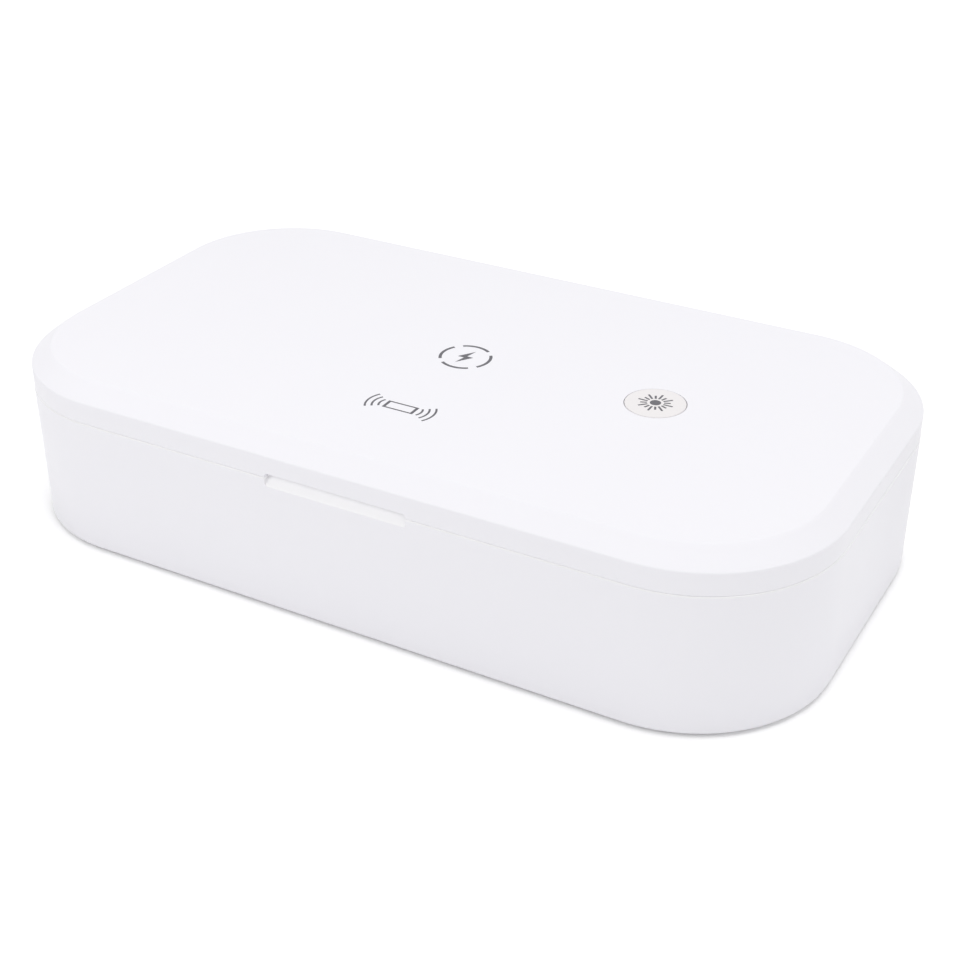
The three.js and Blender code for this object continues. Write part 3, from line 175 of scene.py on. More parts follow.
BOARD_BOSS_RADIUS = 2.2 * MM
BOARD_BOSS_LENGTH = 1.4 * MM
BOARD_SCREW_HOLE = 1 * MM

# Lamp units: their axis, ends and covers come from the frame
LAMP_LOW, LAMP_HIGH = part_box("base_lamp")
WINDOW_LOW, WINDOW_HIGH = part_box("base_lamp_window")
LAMP_CAP_LOW, LAMP_CAP_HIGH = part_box("base_lamp_cap_right")
LAMP_CAP_RADIUS = (LAMP_CAP_HIGH.y - LAMP_CAP_LOW.y) / 2
TUBE_RADIUS = (LAMP_HIGH.z - LAMP_LOW.z) / 2
TUBE_HALF = LAMP_HIGH.x
TUBE_WALL = 0.35 * MM
TUBE_SEAL = 2 * MM
WINDOW_FLANGE = 4 * MM
WINDOW_FLANGE_THICKNESS = 1 * MM
WINDOW_THICKNESS = 0.9 * MM
FLOOR_Z = WINDOW_LOW.z + WINDOW_FLANGE_THICKNESS
LAMP_AXIS = (0, (LAMP_HIGH.z + LAMP_LOW.z) / 2 - FLOOR_Z)
POCKET_HALF_LENGTH = WINDOW_HIGH.x - WINDOW_FLANGE
POCKET_HALF_WIDTH = WINDOW_HIGH.y - WINDOW_FLANGE
HUMP_HEIGHT = WINDOW_HIGH.z - FLOOR_Z
POCKET_DEPTH = 2.7 * MM
POCKET_SKIN = 1 * MM
PANEL_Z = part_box("lid_lamp_window")[1].z - WINDOW_FLANGE_THICKNESS
LEAD_HOLE_RADIUS = 1 * MM
LEAD_HOLE_X = LAMP_CAP_HIGH.x + 3 * MM
LEAD_RADIUS = 0.5 * MM
LEAD_BEND = 1.6 * MM

# Lid liner
BORDER_LOW_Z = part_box("lid_liner")[0].z
BORDER_TOP_Z = BORDER_LOW_Z + 1.8 * MM
BORDER_INSET = LID_SIDE_WALL + FIT_GAP
PANEL_THICKNESS = 1.6 * MM
PANEL_EASE = 0.8 * MM
STEP_INNER_INSET = LIP_INSET - 0.8 * MM
STEP_OUTER_INSET = STEP_INNER_INSET - 1.6 * MM
STANDOFF_RADIUS = 2 * MM

# Finger notch
NOTCH_HALF = 20 * MM
NOTCH_LOW_Z = PARTING_Z - 2.4 * MM
NOTCH_HIGH_Z = PARTING_Z + 1.2 * MM
NOTCH_DEPTH = 1.8 * MM
NOTCH_EASE = 0.9 * MM

# Hinge, and the wiring through it
HINGE_AXIS = (HINGE_Y, PARTING_Z)
KNUCKLE_RADIUS = 3 * MM
SWING_RADIUS = KNUCKLE_RADIUS + 0.35 * MM
KNUCKLE_GAP = 0.3 * MM
KNUCKLE_EASE = 0.3 * MM
CHANNEL_HEIGHT = 4 * MM
RAIL_WALL = 2.2 * MM
RAIL_FRONT_Y = HINGE_Y - SWING_RADIUS - RAIL_WALL
HINGE_OFFSET = middle_of("hinge_pin_right").x
LID_KNUCKLE = 13 * MM
BASE_KNUCKLE = 8 * MM
BARREL = 14 * MM
PIN_BORE = 1.05 * MM
HARNESS_RADIUS = 1.1 * MM
HARNESS_BORE = HARNESS_RADIUS + 0.35 * MM
HARNESS_BEND = 2.6 * MM
HARNESS_TURN_X = 7 * MM

# Start button
BUTTON_X = middle_of("button_cap").x
BUTTON_FLANGE = 1.4 * MM
BUTTON_RADIUS = radius_of("button_cap") - BUTTON_FLANGE
BUTTON_HOLE_GAP = 0.17 * MM
BUTTON_FLANGE_THICKNESS = 0.6 * MM
BUTTON_TOP = 1.6 * MM
BUTTON_SKIRT = 1.4 * MM
BUTTON_STEM = 1.6 * MM
BUTTON_EASE = 0.3 * MM
BUTTON_EASE_STEPS = 8

# How finely round forms are cut
CORNER_STEPS = 28
EASE_STEPS = 5
ROUND_STEPS = 48
SMALL_STEPS = 24
LEAD_STEPS = 12
STADIUM_STEPS = 16
HUMP_STEPS = 10
EDGE_SEGMENTS = 2
FINE_EDGE = 0.12 * MM
SOFT_EDGE = 0.25 * MM
METAL_EDGE = 0.05 * MM
SHARP_ANGLE = math.radians(32)


# Outlines and profiles

def round_points(x, y, radius, angles):
    return [(x + radius * math.cos(angle), y + radius * math.sin(angle)) for angle in angles]


def circle(x, y, radius, steps=ROUND_STEPS):
    return round_points(x, y, radius, [k / steps * math.tau for k in range(steps)])


def outline(inset):
    """The box's outline from above, drawn in by an inset."""
    points = []
    for quarter, (side_x, side_y) in enumerate([(1, 1), (-1, 1), (-1, -1), (1, -1)]):
        x, y = side_x * (HALF_LENGTH - CORNER_RADIUS), side_y * (HALF_DEPTH - CORNER_RADIUS)
        angles = [(quarter + k / CORNER_STEPS) * math.pi / 2 for k in range(CORNER_STEPS + 1)]
        points += round_points(x, y, CORNER_RADIUS - inset, angles)
    return points


def stadium(half_length, half_width, centre=(0, 0)):
    """A slot with round ends."""
    points = []
    for side, start in ((1, 0), (-1, math.pi)):
        angles = [start + (k / STADIUM_STEPS - 0.5) * math.pi for k in range(STADIUM_STEPS + 1)]
        x = centre[0] + side * (half_length - half_width)
        points += round_points(x, centre[1], half_width, angles)
    return points


def pocket_outline(margin):
    """A lamp pocket's outline, wider all round by a margin."""
    return stadium(POCKET_HALF_LENGTH + margin, POCKET_HALF_WIDTH + margin)


def rectangle(low_x, high_x, low_y, high_y):
    return [(low_x, low_y), (high_x, low_y), (high_x, high_y), (low_x, high_y)]


def eased(profile, steps=EASE_STEPS):
    """A line of (across, up, radius) points with each corner rounded to its radius."""
    points = []
    for k, (across, up, radius) in enumerate(profile):
        corner = Vector((across, up))
        if radius == 0 or k in (0, len(profile) - 1):
            points.append(tuple(corner))
            continue
        to_last = (Vector(profile[k - 1][:2]) - corner).normalized()
        to_next = (Vector(profile[k + 1][:2]) - corner).normalized()
        half = to_last.angle(to_next) / 2
        centre = corner + (to_last + to_next).normalized() * (radius / math.sin(half))
        start = corner + to_last * (radius / math.tan(half)) - centre
        end = corner + to_next * (radius / math.tan(half)) - centre
        sweep = start.angle(end)
        for step in range(steps + 1):
            share = step / steps
            arm = start * math.sin((1 - share) * sweep) + end * math.sin(share * sweep)
            points.append(tuple(centre + arm / math.sin(sweep)))
    return points


# Solids

def along_x(across, up, run):
    return (run, across, up)


def along_y(across, up, run):
    return (across, run, up)


def along_z(across, up, run):
    return (across, up, run)


def in_scene(name, data):
    """A new object in the scene."""
    made = bpy.data.objects.new(name, data)
    bpy.context.scene.collection.objects.link(made)
    return made


def discard(piece):
    mesh = piece.data
    bpy.data.objects.remove(piece)
    bpy.data.meshes.remove(mesh)


def solid(points, faces):
    """A mesh object whose faces point outwards."""
    mesh = bpy.data.meshes.new("solid")
    mesh.from_pydata(points, [], faces)
    work = bmesh.new()
    work.from_mesh(mesh)
    bmesh.ops.remove_doubles(work, verts=work.verts, dist=1e-7)
    bmesh.ops.recalc_face_normals(work, faces=work.faces)
    work.to_mesh(mesh)
    work.free()
    return in_scene("solid", mesh)


def tube_faces(rings, count):
    """A face over each end of a row of rings, and the faces from each ring to the next."""
    faces = [tuple(range(count)), tuple(range((rings - 1) * count, rings * count))]
    for low in range(0, (rings - 1) * count, count):
        for k in range(count):
            after = (k + 1) % count
            faces.append((low + k, low + after, low + count + after, low + count + k))
    return faces


def loft(levels, turn=along_z):
    """A closed solid through matching outlines, given as (run, outline) pairs."""
    points = [turn(across, up, run) for run, ring in levels for across, up in ring]
    return solid(points, tube_faces(len(levels), len(levels[0][1])))


def prism(ring, low, high, turn=along_z):
    return loft([(min(low, high), ring), (max(low, high), ring)], turn)


def shell_of(profile):
    """The solid whose side is a profile of (inset, height) points, carried round the box."""
    return loft([(up, outline(inset)) for inset, up in profile])


def plate(inset, low, high):
    return shell_of([(inset, low), (inset, high)])


def block(low, high):
    return prism(rectangle(low[0], high[0], low[1], high[1]), low[2], high[2])


def rod(centre, low, high, radius, turn=along_z, ease=0, steps=ROUND_STEPS):
    """A round bar between two places along its axis, with its ends' edges rounded."""
    if ease == 0:
        return prism(circle(*centre, radius, steps), low, high, turn)
    inner = radius / 2
    profile = [(inner, low, 0), (radius, low, ease), (radius, high, ease), (inner, high, 0)]
    return loft([(run, circle(*centre, across, steps)) for across, run in eased(profile)], turn)


def at_posts(low, high, radius, steps=ROUND_STEPS):
    """An upright rod at each screw post."""
    return [rod(place, low, high, radius, steps=steps) for place in POSTS]


def around(nodes, low, high, margin):
    """An upright rod about each round node, wider than it by a margin."""
    return [rod(middle_of(node).xy, low, high, radius_of(node) + margin) for node in nodes]


def screw_holes(screw, radius):
    """Room at the posts for the heads of the screws of one kind, and holes for their shanks."""
    head_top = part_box(screw)[0].z + HEAD_HEIGHTS[NODE_BODIES[screw]] + SEAT_GAP
    heads = at_posts(0, head_top, radius_of(screw) + FIT_GAP)
    return heads + at_posts(0, HEIGHT, radius, SMALL_STEPS)


def turned(profile, centre, steps=ROUND_STEPS, turn=along_z):
    """Turns a closed (radius, run) profile about an axis through a centre."""
    points = []
    faces = []
    count = len(profile)
    for k in range(steps):
        angle = k / steps * math.tau
        for radius, run in profile:
            across = centre[0] + radius * math.cos(angle)
            points.append(turn(across, centre[1] + radius * math.sin(angle), run))
        here = k * count
        there = (k + 1) % steps * count
        for m in range(count - 1):
            faces.append((here + m, there + m, there + m + 1, here + m + 1))
    return solid(points, faces)


BEND_SHARE = 0.4


def bent(route, bend):
    """A route of straight stretches with its corners rounded over a bend length."""
    corners = [Vector(point) for point in route]
    points = [corners[0]]
    for last, corner, after in zip(corners, corners[1:], corners[2:]):
        reach = min(bend, BEND_SHARE * (last - corner).length, BEND_SHARE * (after - corner).length)
        start = corner + (last - corner).normalized() * reach
        end = corner + (after - corner).normalized() * reach
        for step in range(EASE_STEPS + 1):
            share = step / EASE_STEPS
            points.append(start.lerp(corner, share).lerp(corner.lerp(end, share), share))
    return points + [corners[-1]]


def swept(route, radius, sides=SMALL_STEPS):
    """A round wire along a list of points."""
    points = []
    normal = None
    for k, place in enumerate(route):
        ahead = (route[min(k + 1, len(route) - 1)] - route[max(k - 1, 0)]).normalized()
        if normal is None:
            normal = ahead.orthogonal().normalized()
        normal = (normal - ahead * normal.dot(ahead)).normalized()
        other = ahead.cross(normal)
        for m in range(sides):
            angle = m / sides * math.tau
            points.append(place + (normal * math.cos(angle) + other * math.sin(angle)) * radius)
    return solid(points, tube_faces(len(route), sides))


def settled(piece):
    """Applies a piece's modifiers to its mesh."""
    graph = bpy.context.evaluated_depsgraph_get()
    mesh = bpy.data.meshes.new_from_object(piece.evaluated_get(graph), depsgraph=graph)
    old = piece.data
    piece.modifiers.clear()
    piece.data = mesh
    bpy.data.meshes.remove(old)
    return piece


def combined(piece, operation, tools):
    for tool in tools:
        step = piece.modifiers.new(operation, "BOOLEAN")
        step.operation = operation
        step.solver = "MANIFOLD"
        step.object = tool
    settled(piece)
    for tool in tools:
        discard(tool)
    return piece


def joined(piece, *tools):
    return combined(piece, "UNION", tools)


def less(piece, *tools):
    return combined(piece, "DIFFERENCE", tools)


def shared(piece, *tools):
    return combined(piece, "INTERSECT", tools)


def softened(piece, width, segments=EDGE_SEGMENTS):
    """Rounds every sharp edge of a piece and shades it smooth."""
    for face in piece.data.polygons:
        face.use_smooth = True
    if width:
        edge = piece.modifiers.new("edges", "BEVEL")
        edge.limit_method = "ANGLE"
        edge.angle_limit = SHARP_ANGLE
        edge.width = width
        edge.segments = segments
        edge.use_clamp_overlap = True
        edge.miter_outer = "MITER_ARC"
    weighted = piece.modifiers.new("normals", "WEIGHTED_NORMAL")
    weighted.mode = "FACE_AREA_WITH_ANGLE"
    weighted.keep_sharp = True
    return settled(piece)


# Materials

def feed(tree, socket, value):
    """Links a socket to another one, or sets its value."""
    if isinstance(value, bpy.types.NodeSocket):
        tree.links.new(value, socket)
    else:
        socket.default_value = value


def add_node(tree, kind, inputs=None, **settings):
    """Adds a shader node, with its settings and what feeds its inputs."""
    made = tree.nodes.new(kind)
    for key, value in settings.items():
        setattr(made, key, value)
    for key, value in (inputs or {}).items():
        feed(tree, made.inputs[key], value)
    return made


# The sockets of a colour mix: its share, its two colours and its result
MIX_SHARE, MIX_START, MIX_END, MIX_RESULT = 0, 6, 7, 2
EDGE_SAMPLES = 4
EDGE_TURN = 0.93


class Look:
    """A material under construction: a Principled shader fed by procedural nodes."""

    def __init__(self, name, colour, roughness, metallic=0.0):
        self.material = bpy.data.materials.new(name)
        self.material.use_nodes = True
        self.tree = self.material.node_tree
        self.shader = self.tree.nodes["Principled BSDF"]
        self.place = self.node("ShaderNodeTexCoord").outputs["Object"]
        self.colour = colour
        self.roughness = roughness
        self.normal = None
        self.set("Base Color", (*colour, 1))
        self.set("Roughness", roughness)
        self.set("Metallic", metallic)

    def node(self, kind, inputs=None, **settings):
        return add_node(self.tree, kind, inputs, **settings)

    def set(self, key, value):
        feed(self.tree, self.shader.inputs[key], value)

    def noise(self, size, detail=2.0, stretch=(1, 1, 1)):
        """Noise whose features are about this size, in metres."""
        place = self.node("ShaderNodeMapping", {"Vector": self.place, "Scale": stretch})
        inputs = {"Vector": place.outputs[0], "Scale": 1 / size, "Detail": detail}
        return self.node("ShaderNodeTexNoise", inputs).outputs[0]

    def span(self, value, low, high, start=0.3, end=0.7):
        """Carries a value from its own range to another one."""
        ends = {"From Min": start, "From Max": end, "To Min": low, "To Max": high}
        return self.node("ShaderNodeMapRange", {"Value": value, **ends}).outputs[0]

    def patches(self, size, detail, low, high):
        """A value that wanders between two others in patches of about this size."""
        return self.span(self.noise(size, detail), low, high)

    def maths(self, operation, one, other=0.0):
        return self.node("ShaderNodeMath", {0: one, 1: other}, operation=operation).outputs[0]

    def tint(self, value, other):
        """Carries the colour towards another one."""
        start = self.shader.inputs["Base Color"]
        source = start.links[0].from_socket if start.links else tuple(start.default_value)
        inputs = {MIX_SHARE: value, MIX_START: source, MIX_END: (*other, 1)}
        mixed = self.node("ShaderNodeMix", inputs, data_type="RGBA")
        self.set("Base Color", mixed.outputs[MIX_RESULT])

    def mottle(self, size, detail, share):
        """Darkens the colour in patches by up to a share."""
        darker = [channel * (1 - share) for channel in self.colour]
        self.tint(self.patches(size, detail, 0, 1), darker)

    def dull(self, size, detail, under, over):
        """Lets the roughness vary in patches, from a little under its value to a little over."""
        ends = self.roughness - under, self.roughness + over
        self.set("Roughness", self.patches(size, detail, *ends))

    def bump(self, height, depth, strength):
        """Raises the surface by a height pattern, to a depth in metres."""
        inputs = {"Height": height, "Distance": depth, "Strength": strength}
        if self.normal:
            inputs["Normal"] = self.normal
        self.normal = self.node("ShaderNodeBump", inputs).outputs[0]
        self.set("Normal", self.normal)

    def grain(self, size, detail, depth, strength):
        self.bump(self.noise(size, detail), depth, strength)

    def edges(self, radius):
        """1 on edges that turn within a radius, and 0 on flat ground."""
        bevel = self.node("ShaderNodeBevel", {"Radius": radius}, samples=EDGE_SAMPLES)
        plain = self.node("ShaderNodeNewGeometry").outputs["Normal"]
        inputs = {0: bevel.outputs[0], 1: plain}
        dot = self.node("ShaderNodeVectorMath", inputs, operation="DOT_PRODUCT").outputs["Value"]
        return self.span(dot, 1.0, 0.0, EDGE_TURN, 1.0)


def moulded(name, colour, roughness, grain, grain_depth):
    """Satin moulded plastic: fine spark-eroded grain, slight mottling, and polished edges."""
    look = Look(name, colour, roughness)
    look.set("IOR", 1.49)
    look.mottle(size=34 * MM, detail=3, share=0.008)
    look.mottle(size=2.2 * MM, detail=4, share=0.006)
    worn = look.maths("MULTIPLY", look.edges(0.5 * MM), look.patches(6 * MM, 3, 0.2, 1.0))
    smudge = look.patches(22 * MM, 4, roughness - 0.035, roughness + 0.045)
    rough = look.maths("ADD", smudge, look.patches(0.9 * MM, 3, -0.03, 0.03))
    look.set("Roughness", look.maths("SUBTRACT", rough, look.maths("MULTIPLY", worn, 0.12)))
    look.grain(size=grain, detail=3, depth=grain_depth, strength=0.35)
    look.grain(size=9 * MM, detail=1, depth=0.02 * MM, strength=0.25)
    return look.material


def metallised():
    """Bright metal film on a moulded liner: soft waves, haze and a few rubbed spots."""
    look = Look("silver_film", (0.80, 0.805, 0.82), 0.22, 0.96)
    look.mottle(size=26 * MM, detail=3, share=0.03)
    haze = look.patches(14 * MM, 3, 0.19, 0.24)
    fine = look.patches(0.5 * MM, 2, -0.012, 0.012)
    rubbed = look.maths("MULTIPLY", look.edges(0.7 * MM), 0.12)
    look.set("Roughness", look.maths("ADD", look.maths("ADD", haze, fine), rubbed))
    look.grain(size=0.35 * MM, detail=2, depth=0.003 * MM, strength=0.5)
    look.grain(size=16 * MM, detail=1, depth=0.03 * MM, strength=0.25)
    return look.material


def clear(name, colour, ior, roughness):
    """Clear moulded cover or glass with faint wiping marks."""
    look = Look(name, colour, roughness)
    look.set("IOR", ior)
    look.set("Transmission Weight", 1.0)
    wiped = look.noise(3 * MM, 4, stretch=(0.15, 1, 1))
    look.set("Roughness", look.span(wiped, roughness * 0.6, roughness * 2.2, 0.45, 0.75))
    look.mottle(size=18 * MM, detail=2, share=0.02)
    look.grain(size=7 * MM, detail=1, depth=0.01 * MM, strength=0.15)
    return look.material


def drawn_metal(name, colour, roughness, stretch):
    """Metal with fine lines along its drawn direction."""
    look = Look(name, colour, roughness, 1.0)
    lines = look.noise(0.08 * MM, 3, stretch)
    look.mottle(size=3 * MM, detail=4, share=0.10)
    rough = look.span(lines, roughness * 0.75, roughness * 1.35)
    look.set("Roughness", look.maths("ADD", rough, look.patches(1.5 * MM, 3, -0.04, 0.05)))
    look.bump(lines, depth=0.004 * MM, strength=0.6)
    return look.material


def soft(name, colour, roughness, grain, depth):
    """Rubber or silicone: dull, finely pitted, lighter where it is rubbed."""
    look = Look(name, colour, roughness)
    look.set("IOR", 1.42)
    look.mottle(size=2.5 * MM, detail=4, share=0.14)
    look.tint(look.maths("MULTIPLY", look.edges(0.4 * MM), 0.35), [min(1, c * 1.6) for c in colour])
    look.dull(size=1.1 * MM, detail=3, under=0.08, over=0.08)
    look.grain(size=grain, detail=4, depth=depth, strength=0.7)
    return look.material


def circuit_board():
    """Green solder mask over copper tracks, with tinned pads."""
    look = Look("board_green", (0.012, 0.105, 0.040), 0.4)
    look.set("IOR", 1.52)
    inputs = {"Vector": look.place, "Scale": 1 / (2.4 * MM), "Randomness": 0.15}
    cells = look.node("ShaderNodeTexVoronoi", inputs, feature="F1", distance="MANHATTAN")
    track = look.span(cells.outputs["Distance"], 1, 0, 0.52, 0.60)
    look.tint(track, (0.022, 0.19, 0.07))
    pad = look.span(cells.outputs["Distance"], 1, 0, 0.10, 0.14)
    look.tint(pad, (0.55, 0.55, 0.53))
    look.dull(size=0.8 * MM, detail=3, under=0.08, over=0.1)
    look.bump(track, depth=0.03 * MM, strength=0.5)
    return look.material


def dark_package(name, colour, roughness):
    """Black moulded package with a fine matt grain."""
    look = Look(name, colour, roughness)
    look.mottle(size=1.6 * MM, detail=4, share=0.25)
    look.dull(size=0.3 * MM, detail=2, under=0.07, over=0.07)
    look.grain(size=0.12 * MM, detail=3, depth=0.006 * MM, strength=0.6)
    return look.material


def winding():
    """Enamelled copper wire: fine rings about the coil's axis, with painted shade in the grooves between turns."""
    look = Look("coil_copper", (0.62, 0.24, 0.085), 0.3, 1.0)
    flat = look.node("ShaderNodeVectorMath", {0: look.place, 1: (1, 1, 0)}, operation="MULTIPLY")
    radius = look.node("ShaderNodeVectorMath", {0: flat.outputs[0]}, operation="LENGTH")
    turns = look.maths("SINE", look.maths("MULTIPLY", radius.outputs["Value"], math.tau / (0.5 * MM)))
    # Painted shade: the copper is darker where the bumped rings dip, in the grooves between turns
    look.tint(look.span(turns, 1, 0, -1, 0.2), [channel * 0.45 for channel in look.colour])
    look.dull(size=1 * MM, detail=3, under=0.06, over=0.12)
    look.bump(look.span(turns, 0, 1, -1, 1), depth=0.1 * MM, strength=0.8)
    return look.material


def sleeve(name, colour, roughness):
    """Cable sleeve with slight ripples and dust."""
    look = Look(name, colour, roughness)
    look.mottle(size=2 * MM, detail=4, share=0.12)
    look.dull(size=0.8 * MM, detail=3, under=0.08, over=0.1)
    look.grain(size=0.6 * MM, detail=3, depth=0.01 * MM, strength=0.5)
    return look.material


def printed():
    """Pad-printed dark grey ink, a little uneven."""
    look = Look("print_grey", (0.133, 0.130, 0.148), 0.5)
    look.mottle(size=0.25 * MM, detail=4, share=0.16)
    look.dull(size=0.5 * MM, detail=3, under=0.08, over=0.1)
    look.grain(size=0.15 * MM, detail=3, depth=0.004 * MM, strength=0.5)
    return look.material


WHITE = (0.905, 0.897, 0.937)
# Lighter than the shell's white: painted light on the notch's scoop and a painted highlight on the rim's rounding
NOTCH_AND_RIM_HIGHLIGHT_WHITE = (0.94, 0.935, 0.95)
BUTTON_WHITE = (0.857, 0.83, 0.834)

# The material of each of the record's slots
LOOKS = {
    "shell_white": moulded("shell_white", WHITE, 0.42, 0.16 * MM, 0.008 * MM),
    "button_white": moulded("button_white", BUTTON_WHITE, 0.33, 0.12 * MM, 0.006 * MM),
    "liner_silver": metallised(),
    "window_clear": clear("window_clear", (0.965, 0.98, 0.99), 1.47, 0.03),
    "lamp_glass": clear("lamp_glass", (0.975, 0.985, 1.0), 1.46, 0.02),
    "reflector_aluminium": drawn_metal("reflector_aluminium", (0.88, 0.885, 0.89), 0.16, (0.02, 1, 1)),
    "nickel": drawn_metal("nickel_plate", (0.70, 0.685, 0.65), 0.26, (1, 0.1, 0.1)),
    "steel": drawn_metal("plain_steel", (0.56, 0.565, 0.575), 0.34, (1, 1, 0.1)),
    "soft_silicone": soft("soft_silicone", (0.76, 0.76, 0.74), 0.62, 0.15 * MM, 0.01 * MM),
    "foot_rubber": soft("foot_rubber", (0.045, 0.045, 0.048), 0.8, 0.2 * MM, 0.03 * MM),
    "coil_copper": winding(),
    "ferrite": dark_package("ferrite_dark", (0.030, 0.029, 0.031), 0.7),
    "board_green": circuit_board(),
    "chip_black": dark_package("chip_black", (0.013, 0.013, 0.014), 0.55),
    "cable_black": sleeve("cable_black", (0.022, 0.022, 0.026), 0.55),
    "lead_white": sleeve("lead_white", (0.76, 0.76, 0.77), 0.5),
}
# Glossier than the shell, and lighter in colour to paint the light on the notch and a highlight on the rim
POLISHED_WITH_PAINTED_HIGHLIGHT = moulded("polished_painted_highlight_white", NOTCH_AND_RIM_HIGHLIGHT_WHITE, 0.2, 0.16 * MM, 0.002 * MM)
INK = printed()


def fitted(piece, name, body, look):
    """Names a finished piece, gives it its material, and lets it ride on its body."""
    piece.name = name
    piece.data.name = name
    piece.data.materials.clear()
    piece.data.materials.append(look)
    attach(piece, body)


def renewed(piece, node):
    """Puts a fine piece in a frame node's place, with that node's body and finish."""
    slot = NODE_SLOTS[node]
    fitted(piece, node + "_fine", NODE_BODIES[node], LOOKS[slot])
    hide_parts(node)


# Hinge forms

def knuckle_spans(body):
    """Where a body's knuckles lie along the hinge axis."""
    middles = [side * HINGE_OFFSET for side in SIDES.values()]
    half = LID_KNUCKLE / 2
    if body == "lid":
        return [(x - half, x + half) for x in middles] + [(-BARREL, -KNUCKLE_GAP / 2)]
    inner = half + KNUCKLE_GAP
    spans = [(KNUCKLE_GAP / 2, BARREL)]
    for x in middles:
        spans += [(x - inner - BASE_KNUCKLE, x - inner), (x + inner, x + inner + BASE_KNUCKLE)]
    return spans


def hinge_rods(body, radius, extra=0, ease=0):
    spans = knuckle_spans(body)
    return [rod(HINGE_AXIS, low - extra, high + extra, radius, along_x, ease) for low, high in spans]


def pin_bores():
    pins = [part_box("hinge_pin_" + word) for word in SIDES]
    return [rod(HINGE_AXIS, low.x - SEAT_GAP, high.x + SEAT_GAP, PIN_BORE, along_x, 0, SMALL_STEPS)
            for low, high in pins]


def rail_half():
    """How far the rail runs to each side: a wall past the outline at the hinge axis."""
    reach = HINGE_Y - HALF_DEPTH + CORNER_RADIUS
    return HALF_LENGTH - CORNER_RADIUS + math.sqrt(CORNER_RADIUS ** 2 - reach ** 2) + RAIL_WALL


def rail(low_z, high_z, outer):
    """The bar across the back in front of which the hinge turns, kept inside the outer form."""
    bar = block((-rail_half(), RAIL_FRONT_Y, low_z), (rail_half(), HALF_DEPTH, high_z))
    return shared(bar, outer)


def rail_clearance():
    reach = rail_half() + FIT_GAP
    return block((-reach, RAIL_FRONT_Y - FIT_GAP, 0), (reach, 2 * HALF_DEPTH, HEIGHT))


def hinged(shell, body, low_z, high_z, early_cuts, late_cuts):
    """Cuts a shell's hinge channel, adds its knuckles, and bores them for the pins and the wiring."""
    other = "lid" if body == "base" else "base"
    channel = block((-2 * HALF_LENGTH, HINGE_Y, low_z), (2 * HALF_LENGTH, 2 * HALF_DEPTH, high_z))
    shell = less(shell, channel, *hinge_rods(other, SWING_RADIUS, KNUCKLE_GAP), *early_cuts)
    shell = joined(shell, *hinge_rods(body, KNUCKLE_RADIUS, 0, KNUCKLE_EASE))
    return less(shell, *pin_bores(), harness(body, HARNESS_BORE, OVERRUN), *late_cuts)


def harness_route(body, overrun):
    """Along the hinge axis, then away at 45 degrees, and on to the boards."""
    side = 1 if body == "base" else -1
    diagonal = SWING_RADIUS + RAIL_WALL
    x = side * (HARNESS_TURN_X + HARNESS_BEND)
    route = [
        (side * (KNUCKLE_GAP / 2 - overrun), HINGE_Y, PARTING_Z),
        (side * HARNESS_TURN_X, HINGE_Y, PARTING_Z),
        (x, HINGE_Y - HARNESS_BEND / 2, PARTING_Z - side * HARNESS_BEND / 2),
        (x, HINGE_Y - diagonal, PARTING_Z - side * diagonal),
    ]
    if body == "base":
        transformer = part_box("ballast_transformer")[0]
        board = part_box("main_board")[1]
        return route + [(transformer.x, board.y + HARNESS_RADIUS + FIT_GAP, board.z - HARNESS_BEND)]
    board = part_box("charging_board")[1]
    z = board.z + HARNESS_RADIUS + FIT_GAP
    end = (board.x - HARNESS_BEND, middle_of("charging_board").y, z)
    return route + [(x - HARNESS_BEND, RAIL_FRONT_Y - HARNESS_BEND, z), end]


def harness(body, radius, overrun=0):
    return swept(bent(harness_route(body, overrun), HARNESS_BEND), radius)


# Finger notch

def notch_slot():
    ring = eased([
        (NOTCH_HALF / 2, NOTCH_LOW_Z, 0),
        (NOTCH_HALF, NOTCH_LOW_Z, NOTCH_EASE),
        (NOTCH_HALF, NOTCH_HIGH_Z, NOTCH_EASE),
        (-NOTCH_HALF, NOTCH_HIGH_Z, NOTCH_EASE),
        (-NOTCH_HALF, NOTCH_LOW_Z, NOTCH_EASE),
        (-NOTCH_HALF / 2, NOTCH_LOW_Z, 0),
    ])
    return prism(ring, -HALF_DEPTH - OVERRUN, -HALF_DEPTH + NOTCH_DEPTH, along_y)


def notch_scoop(edge_z, rim_z):
    """The part of the slot that is in one shell, its face sloping from the front to the rim."""
    front = -HALF_DEPTH
    beyond = rim_z + math.copysign(OVERRUN, rim_z - edge_z)
    ring = [
        (front - OVERRUN, edge_z),
        (front, edge_z),
        (front + NOTCH_DEPTH, rim_z),
        (front + NOTCH_DEPTH, beyond),
        (front - OVERRUN, beyond),
    ]
    return shared(notch_slot(), prism(ring, -2 * NOTCH_HALF, 2 * NOTCH_HALF, along_x))


def polish_and_paint_highlight_on_notch_and_rim(piece):
    """Gives the slot's faces and the rim's rounding in the base shell a glossier finish. Its lighter colour is
    painted light: a painted highlight along the rim's rounding and painted light on the notch's scoop.
    """
    piece.data.materials.append(POLISHED_WITH_PAINTED_HIGHLIGHT)
    deepest = -HALF_DEPTH + NOTCH_DEPTH
    for face in piece.data.polygons:
        x, y, z = face.center
        inside = abs(x) < NOTCH_HALF and NOTCH_LOW_Z < z < NOTCH_HIGH_Z
        in_notch = inside and -HALF_DEPTH + FINE_EDGE < y < deepest + FINE_EDGE
        on_rim = z > BASE_RIM_Z - RIM_EASE and y < RAIL_FRONT_Y
        if in_notch or on_rim:
            face.material_index = 1


# White shells

def base_outer():
    return shell_of(eased([
        (INNER_INSET, BASE_BOTTOM_Z, 0),
        (BASE_DRAFT, BASE_BOTTOM_Z, BOTTOM_EASE),
        (0, BASE_RIM_Z, RIM_EASE),
        (BASE_WALL, BASE_RIM_Z, 0),
    ]))


